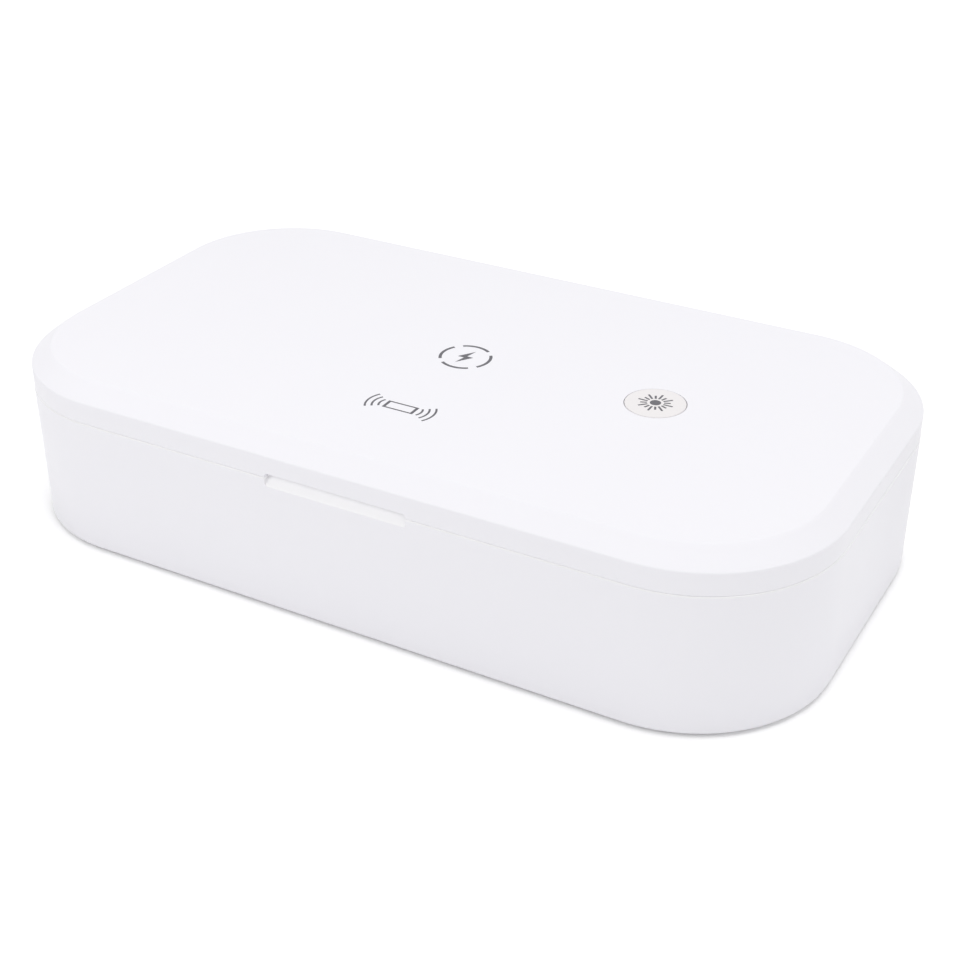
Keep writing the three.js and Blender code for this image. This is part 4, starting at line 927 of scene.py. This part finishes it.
def base_inside():
    """The room inside the base shell, with the ledge that carries the liner."""
    ledge_top = FLANGE_LOW_Z - SEAT_GAP
    ledge_low = ledge_top - LEDGE_THICKNESS
    return shell_of([
        (INNER_INSET, BASE_BOTTOM_Z - OVERRUN),
        (INNER_INSET, ledge_low),
        (INNER_INSET + LEDGE_WIDTH, ledge_low),
        (INNER_INSET + LEDGE_WIDTH, ledge_top),
        (INNER_INSET, ledge_top),
        (INNER_INSET, BASE_RIM_Z + OVERRUN),
    ])


def socket_port():
    low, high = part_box("usb_c_socket")
    half_width = (high.x - low.x) / 2 + FIT_GAP
    half_height = (high.z - low.z) / 2 + FIT_GAP
    ring = stadium(half_width, half_height, ((low.x + high.x) / 2, (low.z + high.z) / 2))
    return prism(ring, HALF_DEPTH - INNER_INSET - OVERRUN, HALF_DEPTH + OVERRUN, along_y)


def make_base_shell():
    channel_low = PARTING_Z - CHANNEL_HEIGHT
    back = rail(channel_low - RAIL_WALL, BASE_RIM_Z, base_outer())
    shell = joined(less(base_outer(), base_inside()), back)
    cuts = [notch_scoop(NOTCH_LOW_Z, BASE_RIM_Z), socket_port()]
    shell = hinged(shell, "base", channel_low, HEIGHT, [], cuts)
    renewed(softened(shell, FINE_EDGE), "base_shell")
    # The slot and the rim's rounding get a lighter colour: painted light and a painted highlight
    polish_and_paint_highlight_on_notch_and_rim(shell)


def lid_outer():
    return shell_of(eased([
        (LID_SIDE_WALL, LID_RIM_Z, 0),
        (LID_INSET, LID_RIM_Z, LID_RIM_EASE),
        (LID_INSET, CHAMFER_FOOT_Z, CHAMFER_FOOT_EASE),
        (CHAMFER_WIDTH, TOP_Z, CHAMFER_TOP_EASE),
        (2 * CHAMFER_WIDTH, TOP_Z, 0),
    ]))


def lid_inside():
    """The room inside the lid, its walls a constant thickness behind the chamfer."""
    slope = math.hypot(CHAMFER_WIDTH, CHAMFER_HEIGHT)
    up_share, in_share = CHAMFER_HEIGHT / slope, CHAMFER_WIDTH / slope
    turn_z = CHAMFER_FOOT_Z - (LID_TOP_WALL - LID_SIDE_WALL * up_share) / in_share
    rise = LID_UNDERSIDE_Z - CHAMFER_FOOT_Z
    return shell_of([
        (LID_SIDE_WALL, LID_RIM_Z - OVERRUN),
        (LID_SIDE_WALL, turn_z),
        ((LID_TOP_WALL + rise * in_share) / up_share, LID_UNDERSIDE_Z),
    ])


def make_lid_shell():
    channel_top = PARTING_Z + CHANNEL_HEIGHT
    bosses = at_posts(BORDER_TOP_Z + SEAT_GAP, HEIGHT - LID_TOP_WALL / 2, BOSS_RADIUS, SMALL_STEPS)
    back = rail(LID_RIM_Z, channel_top + RAIL_WALL, lid_outer())
    shell = joined(less(lid_outer(), lid_inside()), back)
    shell = joined(shell, *[shared(boss, lid_outer()) for boss in bosses])
    screw_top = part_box("lid_screw_back_right")[1].z + SEAT_GAP
    holes = at_posts(0, screw_top, LID_SCREW_HOLE, SMALL_STEPS)
    button_radius = BUTTON_RADIUS + BUTTON_HOLE_GAP
    holes.append(rod((BUTTON_X, 0), 0, HEIGHT + OVERRUN, button_radius, steps=2 * ROUND_STEPS))
    shell = hinged(shell, "lid", 0, channel_top, holes, [notch_scoop(NOTCH_HIGH_Z, LID_RIM_Z)])
    renewed(softened(shell, FINE_EDGE), "lid_shell")


# Liners

def lamp_seat(surface_z, up):
    """The cuts for a lamp's pocket and its cover, from a panel's surface towards its back."""
    floor_z = surface_z - up * POCKET_DEPTH
    open_z = surface_z + up * OVERRUN
    back_z = floor_z - up * OVERRUN
    rebate_z = surface_z - up * (WINDOW_FLANGE_THICKNESS + SEAT_GAP)
    pocket = prism(pocket_outline(0), floor_z, open_z)
    rebate = prism(pocket_outline(WINDOW_FLANGE + FIT_GAP), rebate_z, open_z)
    holes = [rod((side * LEAD_HOLE_X, 0), back_z, surface_z, LEAD_HOLE_RADIUS, steps=SMALL_STEPS)
             for side in SIDES.values()]
    return [pocket, rebate, *holes]


def lamp_shroud(surface_z, up, depth):
    """The wall round a lamp's pocket, at a panel's back."""
    back_z = surface_z - up * (POCKET_DEPTH + POCKET_SKIN)
    return prism(pocket_outline(POCKET_SKIN), back_z, surface_z - up * depth)


def make_ribs():
    """Ribs that hold the phone clear of the floor, each with a round crown."""
    inner = POCKET_HALF_WIDTH + WINDOW_FLANGE + FIT_GAP + RIB_WINDOW_GAP
    outer = HALF_DEPTH - CHAMBER_MARGIN - CHAMBER_DRAFT - RIB_WALL_GAP
    half = RIB_WIDTH / 2
    foot = FLOOR_Z - LINER_FLOOR / 2
    top = FLOOR_Z + RIB_HEIGHT
    ribs = []
    for k in range(RIB_PAIRS):
        x = (k - (RIB_PAIRS - 1) / 2) * RIB_PITCH
        section = eased([
            (x - half, foot, 0),
            (x - half, top, RIB_CROWN),
            (x + half, top, RIB_CROWN),
            (x + half, foot, 0),
        ])
        for low, high in ((inner, outer), (-outer, -inner)):
            ribs.append(prism(section, low, high, along_y))
    return ribs


def board_bosses(low_y, high_y, radius):
    """A rod towards the back at each of the main board's screws."""
    screws = [middle_of("board_screw_" + word) for word in SIDES]
    return [rod(place.xz, low_y, high_y, radius, along_y) for place in screws]


def make_chamber_liner():
    """The tub that the phone goes into, with the flange that sits on the base shell's ledge."""
    tub = shell_of([
        (LIP_INSET + CHAMBER_DRAFT, FLOOR_Z - LINER_FLOOR),
        (LIP_INSET, FLANGE_TOP_Z),
        (LIP_INSET, LIP_TOP_Z),
    ])
    hollow = shell_of(eased([
        (CHAMBER_MARGIN + CHAMBER_DRAFT + 2 * CHAMBER_EASE, FLOOR_Z, 0),
        (CHAMBER_MARGIN + CHAMBER_DRAFT, FLOOR_Z, CHAMBER_EASE),
        (CHAMBER_MARGIN, LIP_TOP_Z, 0),
        (CHAMBER_MARGIN, LIP_TOP_Z + OVERRUN, 0),
    ], 2 * EASE_STEPS))
    flange = less(plate(FLANGE_INSET, FLANGE_LOW_Z, FLANGE_TOP_Z), rail_clearance())
    under_flange = FLANGE_TOP_Z - SEAT_GAP
    posts = at_posts(COLLAR_TOP_Z + SEAT_GAP, under_flange, POST_RADIUS)
    holes = at_posts(0, POST_HOLE_TOP_Z, POST_HOLE, SMALL_STEPS)
    magnets = ["base_magnet_" + word for word in SIDES]
    low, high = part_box(magnets[0])
    cups = around(magnets, low.z, under_flange, FOOT_GAP + CUP_WALL)
    bores = around(magnets, 0, high.z + SEAT_GAP, FOOT_GAP)
    wall_y = HALF_DEPTH - LIP_INSET
    bosses = board_bosses(wall_y - LINER_WALL, wall_y + BOARD_BOSS_LENGTH, BOARD_BOSS_RADIUS)
    threads = board_bosses(wall_y - LINER_WALL / 2, HALF_DEPTH, BOARD_SCREW_HOLE)
    liner = joined(tub, flange, *posts, *cups, *bosses, lamp_shroud(FLOOR_Z, 1, LINER_FLOOR / 2))
    liner = less(liner, hollow, *holes, *bores, *threads)
    liner = less(joined(liner, *make_ribs()), *lamp_seat(FLOOR_Z, 1))
    renewed(softened(liner, SOFT_EDGE), "chamber_liner")


def board_standoffs(low_z):
    """A standoff under each corner of the charging board."""
    low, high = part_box("charging_board")
    reach = STANDOFF_RADIUS
    feet = [(x, y) for x in (low.x + reach, high.x - reach) for y in (low.y + reach, high.y - reach)]
    return [rod(place, low_z, low.z - SEAT_GAP, reach, steps=SMALL_STEPS) for place in feet]


def make_lid_liner():
    """The panel that closes the lid from below, stepped up over the liner's lip."""
    border = less(plate(BORDER_INSET, BORDER_LOW_Z, BORDER_TOP_Z), rail_clearance())
    panel_top = PANEL_Z + PANEL_THICKNESS
    panel = plate(STEP_OUTER_INSET, BORDER_LOW_Z, panel_top)
    hollow = shell_of(eased([
        (STEP_INNER_INSET, BORDER_LOW_Z - OVERRUN, 0),
        (STEP_INNER_INSET, PANEL_Z, PANEL_EASE),
        (2 * STEP_INNER_INSET, PANEL_Z, 0),
    ]))
    magnets = ["lid_magnet_" + word for word in SIDES]
    low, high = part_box(magnets[0])
    cups = around(magnets, BORDER_LOW_Z, high.z, FOOT_GAP + CUP_WALL)
    bores = around(magnets, low.z - SEAT_GAP, HEIGHT, FOOT_GAP)
    holes = screw_holes("lid_screw_back_right", LID_SCREW_HOLE)
    shroud = lamp_shroud(PANEL_Z, -1, PANEL_THICKNESS / 2)
    liner = joined(border, panel, shroud, *cups, *board_standoffs(panel_top - SEAT_GAP))
    liner = less(liner, hollow, *bores, *holes, *lamp_seat(PANEL_Z, -1))
    renewed(softened(liner, SOFT_EDGE), "lid_liner")


# Lamp units, drawn as if over the floor; the lid's is turned over about X and lifted to its panel

def lamp_rod(low, high, radius, ease=0):
    return rod(LAMP_AXIS, low, high, radius, along_x, ease, SMALL_STEPS)


def hump(shrink, skirt):
    """A low vault over the pocket, its side a quarter of an ellipse, drawn in by a thickness."""
    levels = [(-skirt, pocket_outline(-shrink))]
    for k in range(HUMP_STEPS + 1):
        angle = k / HUMP_STEPS * math.pi / 2
        inset = shrink + (POCKET_HALF_WIDTH - shrink) / 2 * (1 - math.cos(angle))
        levels.append(((HUMP_HEIGHT - shrink) * math.sin(angle), pocket_outline(-inset)))
    return loft(levels)


def make_window():
    flange = prism(pocket_outline(WINDOW_FLANGE), -WINDOW_FLANGE_THICKNESS, 0)
    cover = joined(flange, hump(0, WINDOW_FLANGE_THICKNESS / 2))
    return softened(less(cover, hump(WINDOW_THICKNESS, OVERRUN)), FINE_EDGE)


def make_tube():
    """A hollow glass tube drawn in to a small seal at each end."""
    outer_ease, inner_ease = 0.9 * MM, 0.8 * MM
    tube = lamp_rod(-TUBE_HALF, TUBE_HALF, TUBE_RADIUS, outer_ease)
    bore = lamp_rod(-TUBE_HALF + TUBE_SEAL, TUBE_HALF - TUBE_SEAL, TUBE_RADIUS - TUBE_WALL, inner_ease)
    return softened(less(tube, bore), 0)


def make_electrode(side):
    """A cup on a wire inside the tube's end."""
    stand, length, cup_floor = 3 * MM, 6 * MM, 1 * MM
    cup_radius, well_radius, wire_radius = 0.85 * MM, 0.65 * MM, 0.3 * MM
    edge = 0.04 * MM
    seal = TUBE_HALF - TUBE_SEAL - SEAT_GAP
    cup_out = seal - stand
    cup_in = cup_out - length
    cup = lamp_rod(side * cup_in, side * cup_out, cup_radius)
    well = lamp_rod(side * (cup_in - OVERRUN), side * (cup_out - cup_floor), well_radius)
    wire = lamp_rod(side * (cup_out - cup_floor / 2), side * seal, wire_radius)
    return softened(joined(less(cup, well), wire), edge)


def make_cap(side):
    """A drawn metal cap with a rolled mouth and a pin."""
    pin_length, pin_radius, tip_radius, tip_length = 1.5 * MM, 0.5 * MM, 0.35 * MM, 0.15 * MM
    mouth_step, mouth_depth, shoulder_ease = 0.4 * MM, 0.6 * MM, 0.5 * MM
    roll_step, roll_depth = 0.08 * MM, 0.12 * MM
    low, high, radius = LAMP_CAP_LOW.x, LAMP_CAP_HIGH.x, LAMP_CAP_RADIUS
    sleeve_end = high - pin_length
    side_and_shoulder = eased([
        (radius, low + mouth_depth, 0),
        (radius, sleeve_end, shoulder_ease),
        (pin_radius, sleeve_end, 0),
    ])
    profile = [
        (0, low),
        (radius - mouth_step, low),
        (radius - roll_step, low + roll_depth),
        *side_and_shoulder,
        (pin_radius, high - tip_length),
        (tip_radius, high),
        (0, high),
    ]
    cap = turned([(across, side * run) for across, run in profile], LAMP_AXIS, SMALL_STEPS, along_x)
    bore = lamp_rod(side * (low - OVERRUN), side * (TUBE_HALF + SEAT_GAP), TUBE_RADIUS + SEAT_GAP)
    return softened(less(cap, bore), METAL_EDGE)


def make_saddle(side):
    """A soft block that cradles a cap, with a rounded groove."""
    low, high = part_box("base_lamp_saddle_right")
    low_x, high_x = sorted((side * low.x, side * high.x))
    body = block((low_x, low.y, low.z - FLOOR_Z), (high_x, high.y, high.z - FLOOR_Z))
    groove = rod(LAMP_AXIS, low_x - OVERRUN, high_x + OVERRUN, LAMP_CAP_RADIUS + SEAT_GAP, along_x)
    return softened(less(body, groove), SOFT_EDGE, EDGE_SEGMENTS + 1)


def make_reflector():
    """Bright sheet bent up on both sides of the tube."""
    thickness, flat, bend = 0.3 * MM, 3.5 * MM, 1.2 * MM
    low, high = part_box("base_reflector")
    bottom, top = low.z - FLOOR_Z, high.z - FLOOR_Z
    outer = eased([
        (-high.y, top - thickness, 0),
        (-flat, bottom, bend),
        (flat, bottom, bend),
        (high.y, top - thickness, 0),
    ])
    inner = eased([
        (high.y, top, 0),
        (flat - thickness / 2, bottom + thickness, bend),
        (-flat + thickness / 2, bottom + thickness, bend),
        (-high.y, top, 0),
    ])
    return softened(prism(outer + inner, low.x, high.x, along_x), METAL_EDGE)


def lead_route(body, word, side):
    """From a cap's pin to the hole in the pocket, and on along the lead's way."""
    hole_x = side * LEAD_HOLE_X
    surface, up = (FLOOR_Z, 1) if body == "base" else (PANEL_Z, -1)
    axis_z = surface + up * LAMP_AXIS[1]
    route = [(side * (LAMP_CAP_HIGH.x + FIT_GAP), 0, axis_z), (hole_x, 0, axis_z)]
    if body == "base":
        screw_gap, cover_gap = 7 * MM, 1 * MM
        low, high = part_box("main_board")
        end_x = middle_of("board_screw_" + word).x - side * screw_gap
        end_y = high.y + LEAD_RADIUS + FIT_GAP
        run_z = COVER_TOP_Z + cover_gap
        route += [(hole_x, 0, run_z), (hole_x, (HALF_DEPTH - LIP_INSET) / 2, run_z)]
        return route + [(end_x, end_y, run_z), (end_x, end_y, low.z + 3 * LEAD_RADIUS)]
    low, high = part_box("charging_board")
    run_z = high.z + FIT_GAP + LEAD_RADIUS
    reach = 4 * LEAD_RADIUS
    route.append((hole_x, 0, run_z))
    if side < 0:
        return route + [(hole_x, low.y + reach, run_z)]
    clear_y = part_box("coil_ferrite")[1].y + reach
    return route + [(hole_x, clear_y, run_z), (high.x - reach, clear_y, run_z)]


def make_lamp_unit(body):
    """One lamp unit's pieces, placed in the floor or turned over into the lid."""
    place = Matrix.Translation((0, 0, FLOOR_Z))
    if body == "lid":
        place = Matrix.Translation((0, 0, PANEL_Z)) @ Matrix.Rotation(math.pi, 4, "X")
    made = [
        (make_window(), "_lamp_window"),
        (make_tube(), "_lamp"),
        (make_reflector(), "_reflector"),
    ]
    for word, side in SIDES.items():
        made.append((make_cap(side), "_lamp_cap_" + word))
        made.append((make_saddle(side), "_lamp_saddle_" + word))
    for piece, words in made:
        piece.data.transform(place)
        renewed(piece, body + words)
    for word, side in SIDES.items():
        electrode = make_electrode(side)
        electrode.data.transform(place)
        fitted(electrode, body + "_lamp_electrode_" + word, body, LOOKS["nickel"])
        lead = swept(bent(lead_route(body, word, side), LEAD_BEND), LEAD_RADIUS, LEAD_STEPS)
        renewed(softened(lead, 0), body + "_lamp_lead_" + word)


# Start button

def make_button_cap():
    """A cap with a retaining flange, a skirt, and a stem over the switch."""
    disc = BUTTON_TOP_Z - BUTTON_TOP
    flange_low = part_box("button_cap")[0].z
    flange_top = flange_low + BUTTON_FLANGE_THICKNESS
    skirt = BUTTON_RADIUS - BUTTON_SKIRT
    stem_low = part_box("switch_plunger")[1].z + SEAT_GAP
    profile = eased([
        (0, stem_low, 0),
        (BUTTON_STEM, stem_low, 0),
        (BUTTON_STEM, disc, 0),
        (skirt, disc, 0),
        (skirt, flange_low, 0),
        (BUTTON_RADIUS + BUTTON_FLANGE, flange_low, 0),
        (BUTTON_RADIUS + BUTTON_FLANGE, flange_top, 0),
        (BUTTON_RADIUS, flange_top, 0),
        (BUTTON_RADIUS, BUTTON_TOP_Z, BUTTON_EASE),
        (BUTTON_RADIUS - 3 * BUTTON_EASE, BUTTON_TOP_Z, 0),
        (0, BUTTON_TOP_Z, 0),
    ], BUTTON_EASE_STEPS)
    renewed(softened(turned(profile, (BUTTON_X, 0), 2 * ROUND_STEPS), 0), "button_cap")


# Printed marks: thin ink on the surfaces
SUN_DISC = 1.42 * MM
SUN_RAYS = 16
SUN_START = 2.15 * MM
SUN_LONG = 4.65 * MM
SUN_SHORT = 3.8 * MM
SUN_RAY_HALF = 0.27 * MM

# The lightning bolt's corners, as shares of its height
BOLT_SHARES = [(0.12, 0.5), (-0.26, -0.06), (-0.03, -0.06), (-0.12, -0.5), (0.26, 0.06), (0.03, 0.06)]
BOLT_HEIGHT = 8 * MM
CHARGE_RING = 6.7 * MM
CHARGE_RING_HALF = 0.42 * MM
CHARGE_ARCS = 4
CHARGE_ARC_SHARE = 0.78

PHONE_MARK_Y = -32.8 * MM
PHONE_HALF_X = 4.4 * MM
PHONE_HALF_Y = 1.85 * MM
PHONE_LINE = 0.5 * MM
PHONE_END_LINE = 0.8 * MM
WAVE_COUNT = 3
WAVE_FIRST = 3.1 * MM
WAVE_PITCH = 1.7 * MM
WAVE_HALF_ANGLE = math.radians(34)
WAVE_HALF_WIDTH = 0.27 * MM
WAVE_STEPS = 12


def ink(rings, name, body):
    """Flat ink shapes, joined in one thin piece on top of the lid or the button."""
    whole = bmesh.new()
    surface = BUTTON_TOP_Z if body == "button" else TOP_Z
    for ring in rings:
        part = prism(ring, surface - INK_THICKNESS, surface + INK_THICKNESS)
        whole.from_mesh(part.data)
        discard(part)
    mesh = bpy.data.meshes.new(name)
    whole.to_mesh(mesh)
    whole.free()
    fitted(in_scene(name, mesh), name, body, INK)


def ray(angle, start, end, half_width, centre):
    """A bar that points away from a centre."""
    along = Vector((math.cos(angle), math.sin(angle)))
    across = Vector((-along.y, along.x)) * half_width
    near, far = along * start, along * end
    corners = [near - across, far - across, far + across, near + across]
    return [tuple(Vector(centre) + corner) for corner in corners]


def arc(centre, radius, half_width, start, end, steps=SMALL_STEPS):
    """Part of a ring, between two angles."""
    angles = [start + (end - start) * k / steps for k in range(steps + 1)]
    outer = round_points(*centre, radius + half_width, angles)
    return outer + round_points(*centre, radius - half_width, reversed(angles))


def make_sun_mark():
    """A sun on the start button: a disc and rays that are long and short by turns."""
    centre = (BUTTON_X, 0)
    rings = [circle(*centre, SUN_DISC)]
    for k in range(SUN_RAYS):
        end = SUN_SHORT if k % 2 else SUN_LONG
        rings.append(ray(k / SUN_RAYS * math.tau, SUN_START, end, SUN_RAY_HALF, centre))
    ink(rings, "button_sun_mark", "button")


def make_charge_mark():
    """A plain charging symbol at the lid's middle: a bolt in a ring of four arcs."""
    rings = [[(x * BOLT_HEIGHT, y * BOLT_HEIGHT) for x, y in BOLT_SHARES]]
    half = CHARGE_ARC_SHARE * math.pi / CHARGE_ARCS
    for k in range(CHARGE_ARCS):
        middle = k / CHARGE_ARCS * math.tau
        rings.append(arc((0, 0), CHARGE_RING, CHARGE_RING_HALF, middle - half, middle + half))
    ink(rings, "lid_charge_mark", "lid")


def make_phone_mark():
    """A plain symbol near the front: a phone lying between two sets of waves."""
    low_y, high_y = PHONE_MARK_Y - PHONE_HALF_Y, PHONE_MARK_Y + PHONE_HALF_Y
    inner_low, inner_high = low_y + PHONE_LINE, high_y - PHONE_LINE
    inner_x = PHONE_HALF_X - PHONE_END_LINE
    rings = [
        rectangle(-PHONE_HALF_X, PHONE_HALF_X, inner_high, high_y),
        rectangle(-PHONE_HALF_X, PHONE_HALF_X, low_y, inner_low),
        rectangle(-PHONE_HALF_X, -inner_x, inner_low, inner_high),
        rectangle(inner_x, PHONE_HALF_X, inner_low, inner_high),
    ]
    for side, heading in ((-1, math.pi), (1, 0)):
        centre = (side * (PHONE_HALF_X - WAVE_FIRST / 2), PHONE_MARK_Y)
        start, end = heading - WAVE_HALF_ANGLE, heading + WAVE_HALF_ANGLE
        for k in range(WAVE_COUNT):
            radius = WAVE_FIRST + k * WAVE_PITCH
            rings.append(arc(centre, radius, WAVE_HALF_WIDTH, start, end, WAVE_STEPS))
    ink(rings, "lid_phone_mark", "lid")


# Small parts: their forms are shares of their heads, shanks and radii
HEAD_FACE_SHARE = 0.3
HEAD_EASE_SHARE = 0.6
TIP_LENGTH_SHARE = 1.2
TIP_RADIUS_SHARE = 0.2
SLOT_REACH_SHARE = 0.62
SLOT_HALF_SHARE = 0.14
SLOT_DEPTH_SHARE = 0.55
SCREW_EDGE = 0.06 * MM
SOLE_RING_SHARE = 0.62
SOLE_FACE_SHARE = 0.8
SOLE_RING_HALF = 0.35 * MM
SOLE_RING_DEPTH = 0.25 * MM
SOLE_EASE = 0.7 * MM


def make_screw(node):
    """A pan-head screw with a cross recess, its head at the low end."""
    low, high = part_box(node)
    x, y, _ = middle_of(node)
    body = NODE_BODIES[node]
    head, shank = radius_of(node), SHANK_RADII[body]
    height = HEAD_HEIGHTS[body]
    shoulder = low.z + height
    profile = eased([
        (0, low.z, 0),
        (HEAD_FACE_SHARE * head, low.z, 0),
        (head, low.z, HEAD_EASE_SHARE * height),
        (head, shoulder, 0),
        (shank, shoulder, 0),
        (shank, high.z - TIP_LENGTH_SHARE * shank, 0),
        (TIP_RADIUS_SHARE * shank, high.z, 0),
        (0, high.z, 0),
    ])
    screw = turned(profile, (x, y), SMALL_STEPS)
    reach, half = head * SLOT_REACH_SHARE, head * SLOT_HALF_SHARE
    bottom, depth = low.z - OVERRUN, low.z + height * SLOT_DEPTH_SHARE
    slots = [
        block((x - reach, y - half, bottom), (x + reach, y + half, depth)),
        block((x - half, y - reach, bottom), (x + half, y + reach, depth)),
    ]
    renewed(softened(less(screw, *slots), SCREW_EDGE), node)


def make_foot(node):
    """A round rubber foot with a shallow ring moulded in its sole."""
    low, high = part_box(node)
    radius = radius_of(node)
    ring, half = SOLE_RING_SHARE * radius, SOLE_RING_HALF
    profile = eased([
        (0, low.z, 0),
        (ring - half, low.z, 0),
        (ring - half / 2, low.z + SOLE_RING_DEPTH, 0),
        (ring + half / 2, low.z + SOLE_RING_DEPTH, 0),
        (ring + half, low.z, 0),
        (SOLE_FACE_SHARE * radius, low.z, 0),
        (radius, low.z, SOLE_EASE),
        (radius, high.z, 0),
        (0, high.z, 0),
    ])
    renewed(softened(turned(profile, middle_of(node)), 0), node)


def make_bottom_cover():
    collars = at_posts(COVER_TOP_Z - SEAT_GAP, COLLAR_TOP_Z, COLLAR_RADIUS)
    cover = joined(plate(FLANGE_INSET, BASE_BOTTOM_Z, COVER_TOP_Z), *collars)
    holes = screw_holes("bottom_screw_back_right", POST_HOLE)
    feet = ["foot_" + word for word in CORNERS]
    recesses = around(feet, -OVERRUN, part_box(feet[0])[1].z + SEAT_GAP, FOOT_GAP)
    renewed(softened(less(cover, *holes, *recesses), FINE_EDGE), "bottom_cover")


def dress_frame_nodes():
    """Gives every part that is carried over from the frame its material."""
    for node, slot in NODE_SLOTS.items():
        piece = frame["nodes"][node]
        if not piece.hide_render:
            piece.data.materials.clear()
            piece.data.materials.append(LOOKS[slot])


def make_object():
    make_base_shell()
    make_bottom_cover()
    make_chamber_liner()
    make_lid_shell()
    make_lid_liner()
    for body in ("base", "lid"):
        renewed(softened(harness(body, HARNESS_RADIUS), 0), body + "_harness")
    for body in ("base", "lid"):
        make_lamp_unit(body)
    for word in CORNERS:
        make_foot("foot_" + word)
        make_screw("bottom_screw_" + word)
        make_screw("lid_screw_" + word)
    make_button_cap()
    make_sun_mark()
    make_charge_mark()
    make_phone_mark()
    dress_frame_nodes()


# Camera
CAMERA_AZIMUTH = math.radians(29.08)
CAMERA_ELEVATION = math.radians(30.03)
CAMERA_LENS = 62.64
CAMERA_SENSOR = 36
CAMERA_NEAR = 10 * MM
CAMERA_PLACE = (196.4 * MM, -345.3 * MM, 241.0 * MM)


def make_camera():
    data = bpy.data.cameras.new("camera")
    data.sensor_width = CAMERA_SENSOR
    data.lens = CAMERA_LENS
    data.clip_start = CAMERA_NEAR
    tilt = Matrix.Rotation(math.pi / 2 - CAMERA_ELEVATION, 4, "X")
    turn = Matrix.Rotation(CAMERA_AZIMUTH, 4, "Z")
    camera = in_scene("camera", data)
    camera.matrix_world = Matrix.Translation(CAMERA_PLACE) @ turn @ tilt
    bpy.context.scene.camera = camera


# Floor and world: where a ray shows them as a background they are white
FLOOR_SIZE = 6.0
FLOOR_DROP = 0.02 * MM
FLOOR_BOUNCE = 0.94
FLOOR_GLOW = 0.04
FLOOR_SHOWN_NEAR = 1.16
FLOOR_SHOWN_FAR = 1.7
FLOOR_NEAR = 0.3
FLOOR_FAR = 1.2
WORLD_LEVEL = 0.615


def seen_directly(tree):
    """1 for rays that show a background: camera, glossy and transmission rays."""
    path = add_node(tree, "ShaderNodeLightPath")
    value = path.outputs["Is Camera Ray"]
    for word in ("Is Glossy Ray", "Is Transmission Ray"):
        inputs = {0: value, 1: path.outputs[word]}
        value = add_node(tree, "ShaderNodeMath", inputs, operation="MAXIMUM").outputs[0]
    return value


def dress_floor(tree):
    """What is seen of the floor grows lighter with distance; the light it gives back doesn't."""
    place = add_node(tree, "ShaderNodeTexCoord").outputs["Object"]
    away = add_node(tree, "ShaderNodeVectorMath", {0: place}, operation="LENGTH").outputs["Value"]
    ends = {"From Min": FLOOR_NEAR, "From Max": FLOOR_FAR}
    levels = {"To Min": FLOOR_SHOWN_NEAR, "To Max": FLOOR_SHOWN_FAR}
    level = add_node(tree, "ShaderNodeMapRange", {"Value": away, **ends, **levels}).outputs[0]
    shown = add_node(tree, "ShaderNodeBsdfDiffuse", {"Color": level}).outputs[0]
    glow = add_node(tree, "ShaderNodeEmission", {"Strength": FLOOR_GLOW}).outputs[0]
    both = add_node(tree, "ShaderNodeAddShader", {0: shown, 1: glow}).outputs[0]
    grey = (FLOOR_BOUNCE, FLOOR_BOUNCE, FLOOR_BOUNCE, 1)
    bounce = add_node(tree, "ShaderNodeBsdfDiffuse", {"Color": grey}).outputs[0]
    choice = add_node(tree, "ShaderNodeMixShader", {0: seen_directly(tree), 1: bounce, 2: both})
    add_node(tree, "ShaderNodeOutputMaterial", {"Surface": choice.outputs[0]})


def make_floor():
    """A white floor that shows white where light reaches it and keeps the deep contact shadow."""
    half = FLOOR_SIZE / 2
    mesh = bpy.data.meshes.new("floor")
    ring = rectangle(-half, half, -half, half)
    mesh.from_pydata([(x, y, -FLOOR_DROP) for x, y in ring], [], [(0, 1, 2, 3)])
    material = bpy.data.materials.new("floor_white")
    material.use_nodes = True
    material.node_tree.nodes.clear()
    dress_floor(material.node_tree)
    mesh.materials.append(material)
    in_scene("floor", mesh)


def make_world():
    """A white surround, a little under full strength where it only lights the object."""
    world = bpy.data.worlds.new("surround")
    bpy.context.scene.world = world
    world.use_nodes = True
    tree = world.node_tree
    background = tree.nodes["Background"]
    background.inputs["Color"].default_value = (1, 1, 1, 1)
    inputs = {"Value": seen_directly(tree), "To Min": WORLD_LEVEL, "To Max": 1.0}
    level = add_node(tree, "ShaderNodeMapRange", inputs)
    feed(tree, background.inputs["Strength"], level.outputs[0])


# Each lamp: its place, its size and its power in watts. All of them face the box.
# The overhead one would burn out the bright metal inside, so metal and glass don't show it.
UNSEEN_LAMP = "overhead"
LAMPS = {
    "front_left": ((-0.24, -0.36, 0.3), 0.25, 0.235),
    "front_high": ((-0.1, -0.6, 0.7), 0.35, 0.36),
    "front_right": ((0.54, -0.35, 0.45), 0.3, 0.43),
    "right": ((0.55, 0.05, 0.4), 0.35, 0.05),
    "overhead": ((0.1, 0.12, 1.1), 0.8, 3.72),
}


def make_lamps():
    for word, (place, size, power) in LAMPS.items():
        data = bpy.data.lights.new("lamp_" + word, "AREA")
        data.shape = "DISK"
        data.size = size
        data.energy = power
        lamp = in_scene("lamp_" + word, data)
        lamp.location = place
        lamp.rotation_euler = (-Vector(place)).to_track_quat("-Z", "Y").to_euler()
        lamp.visible_glossy = word != UNSEEN_LAMP
        lamp.visible_transmission = word != UNSEEN_LAMP


make_camera()
make_object()
make_floor()
make_world()
make_lamps()
bpy.context.scene.view_settings.view_transform = "Standard"
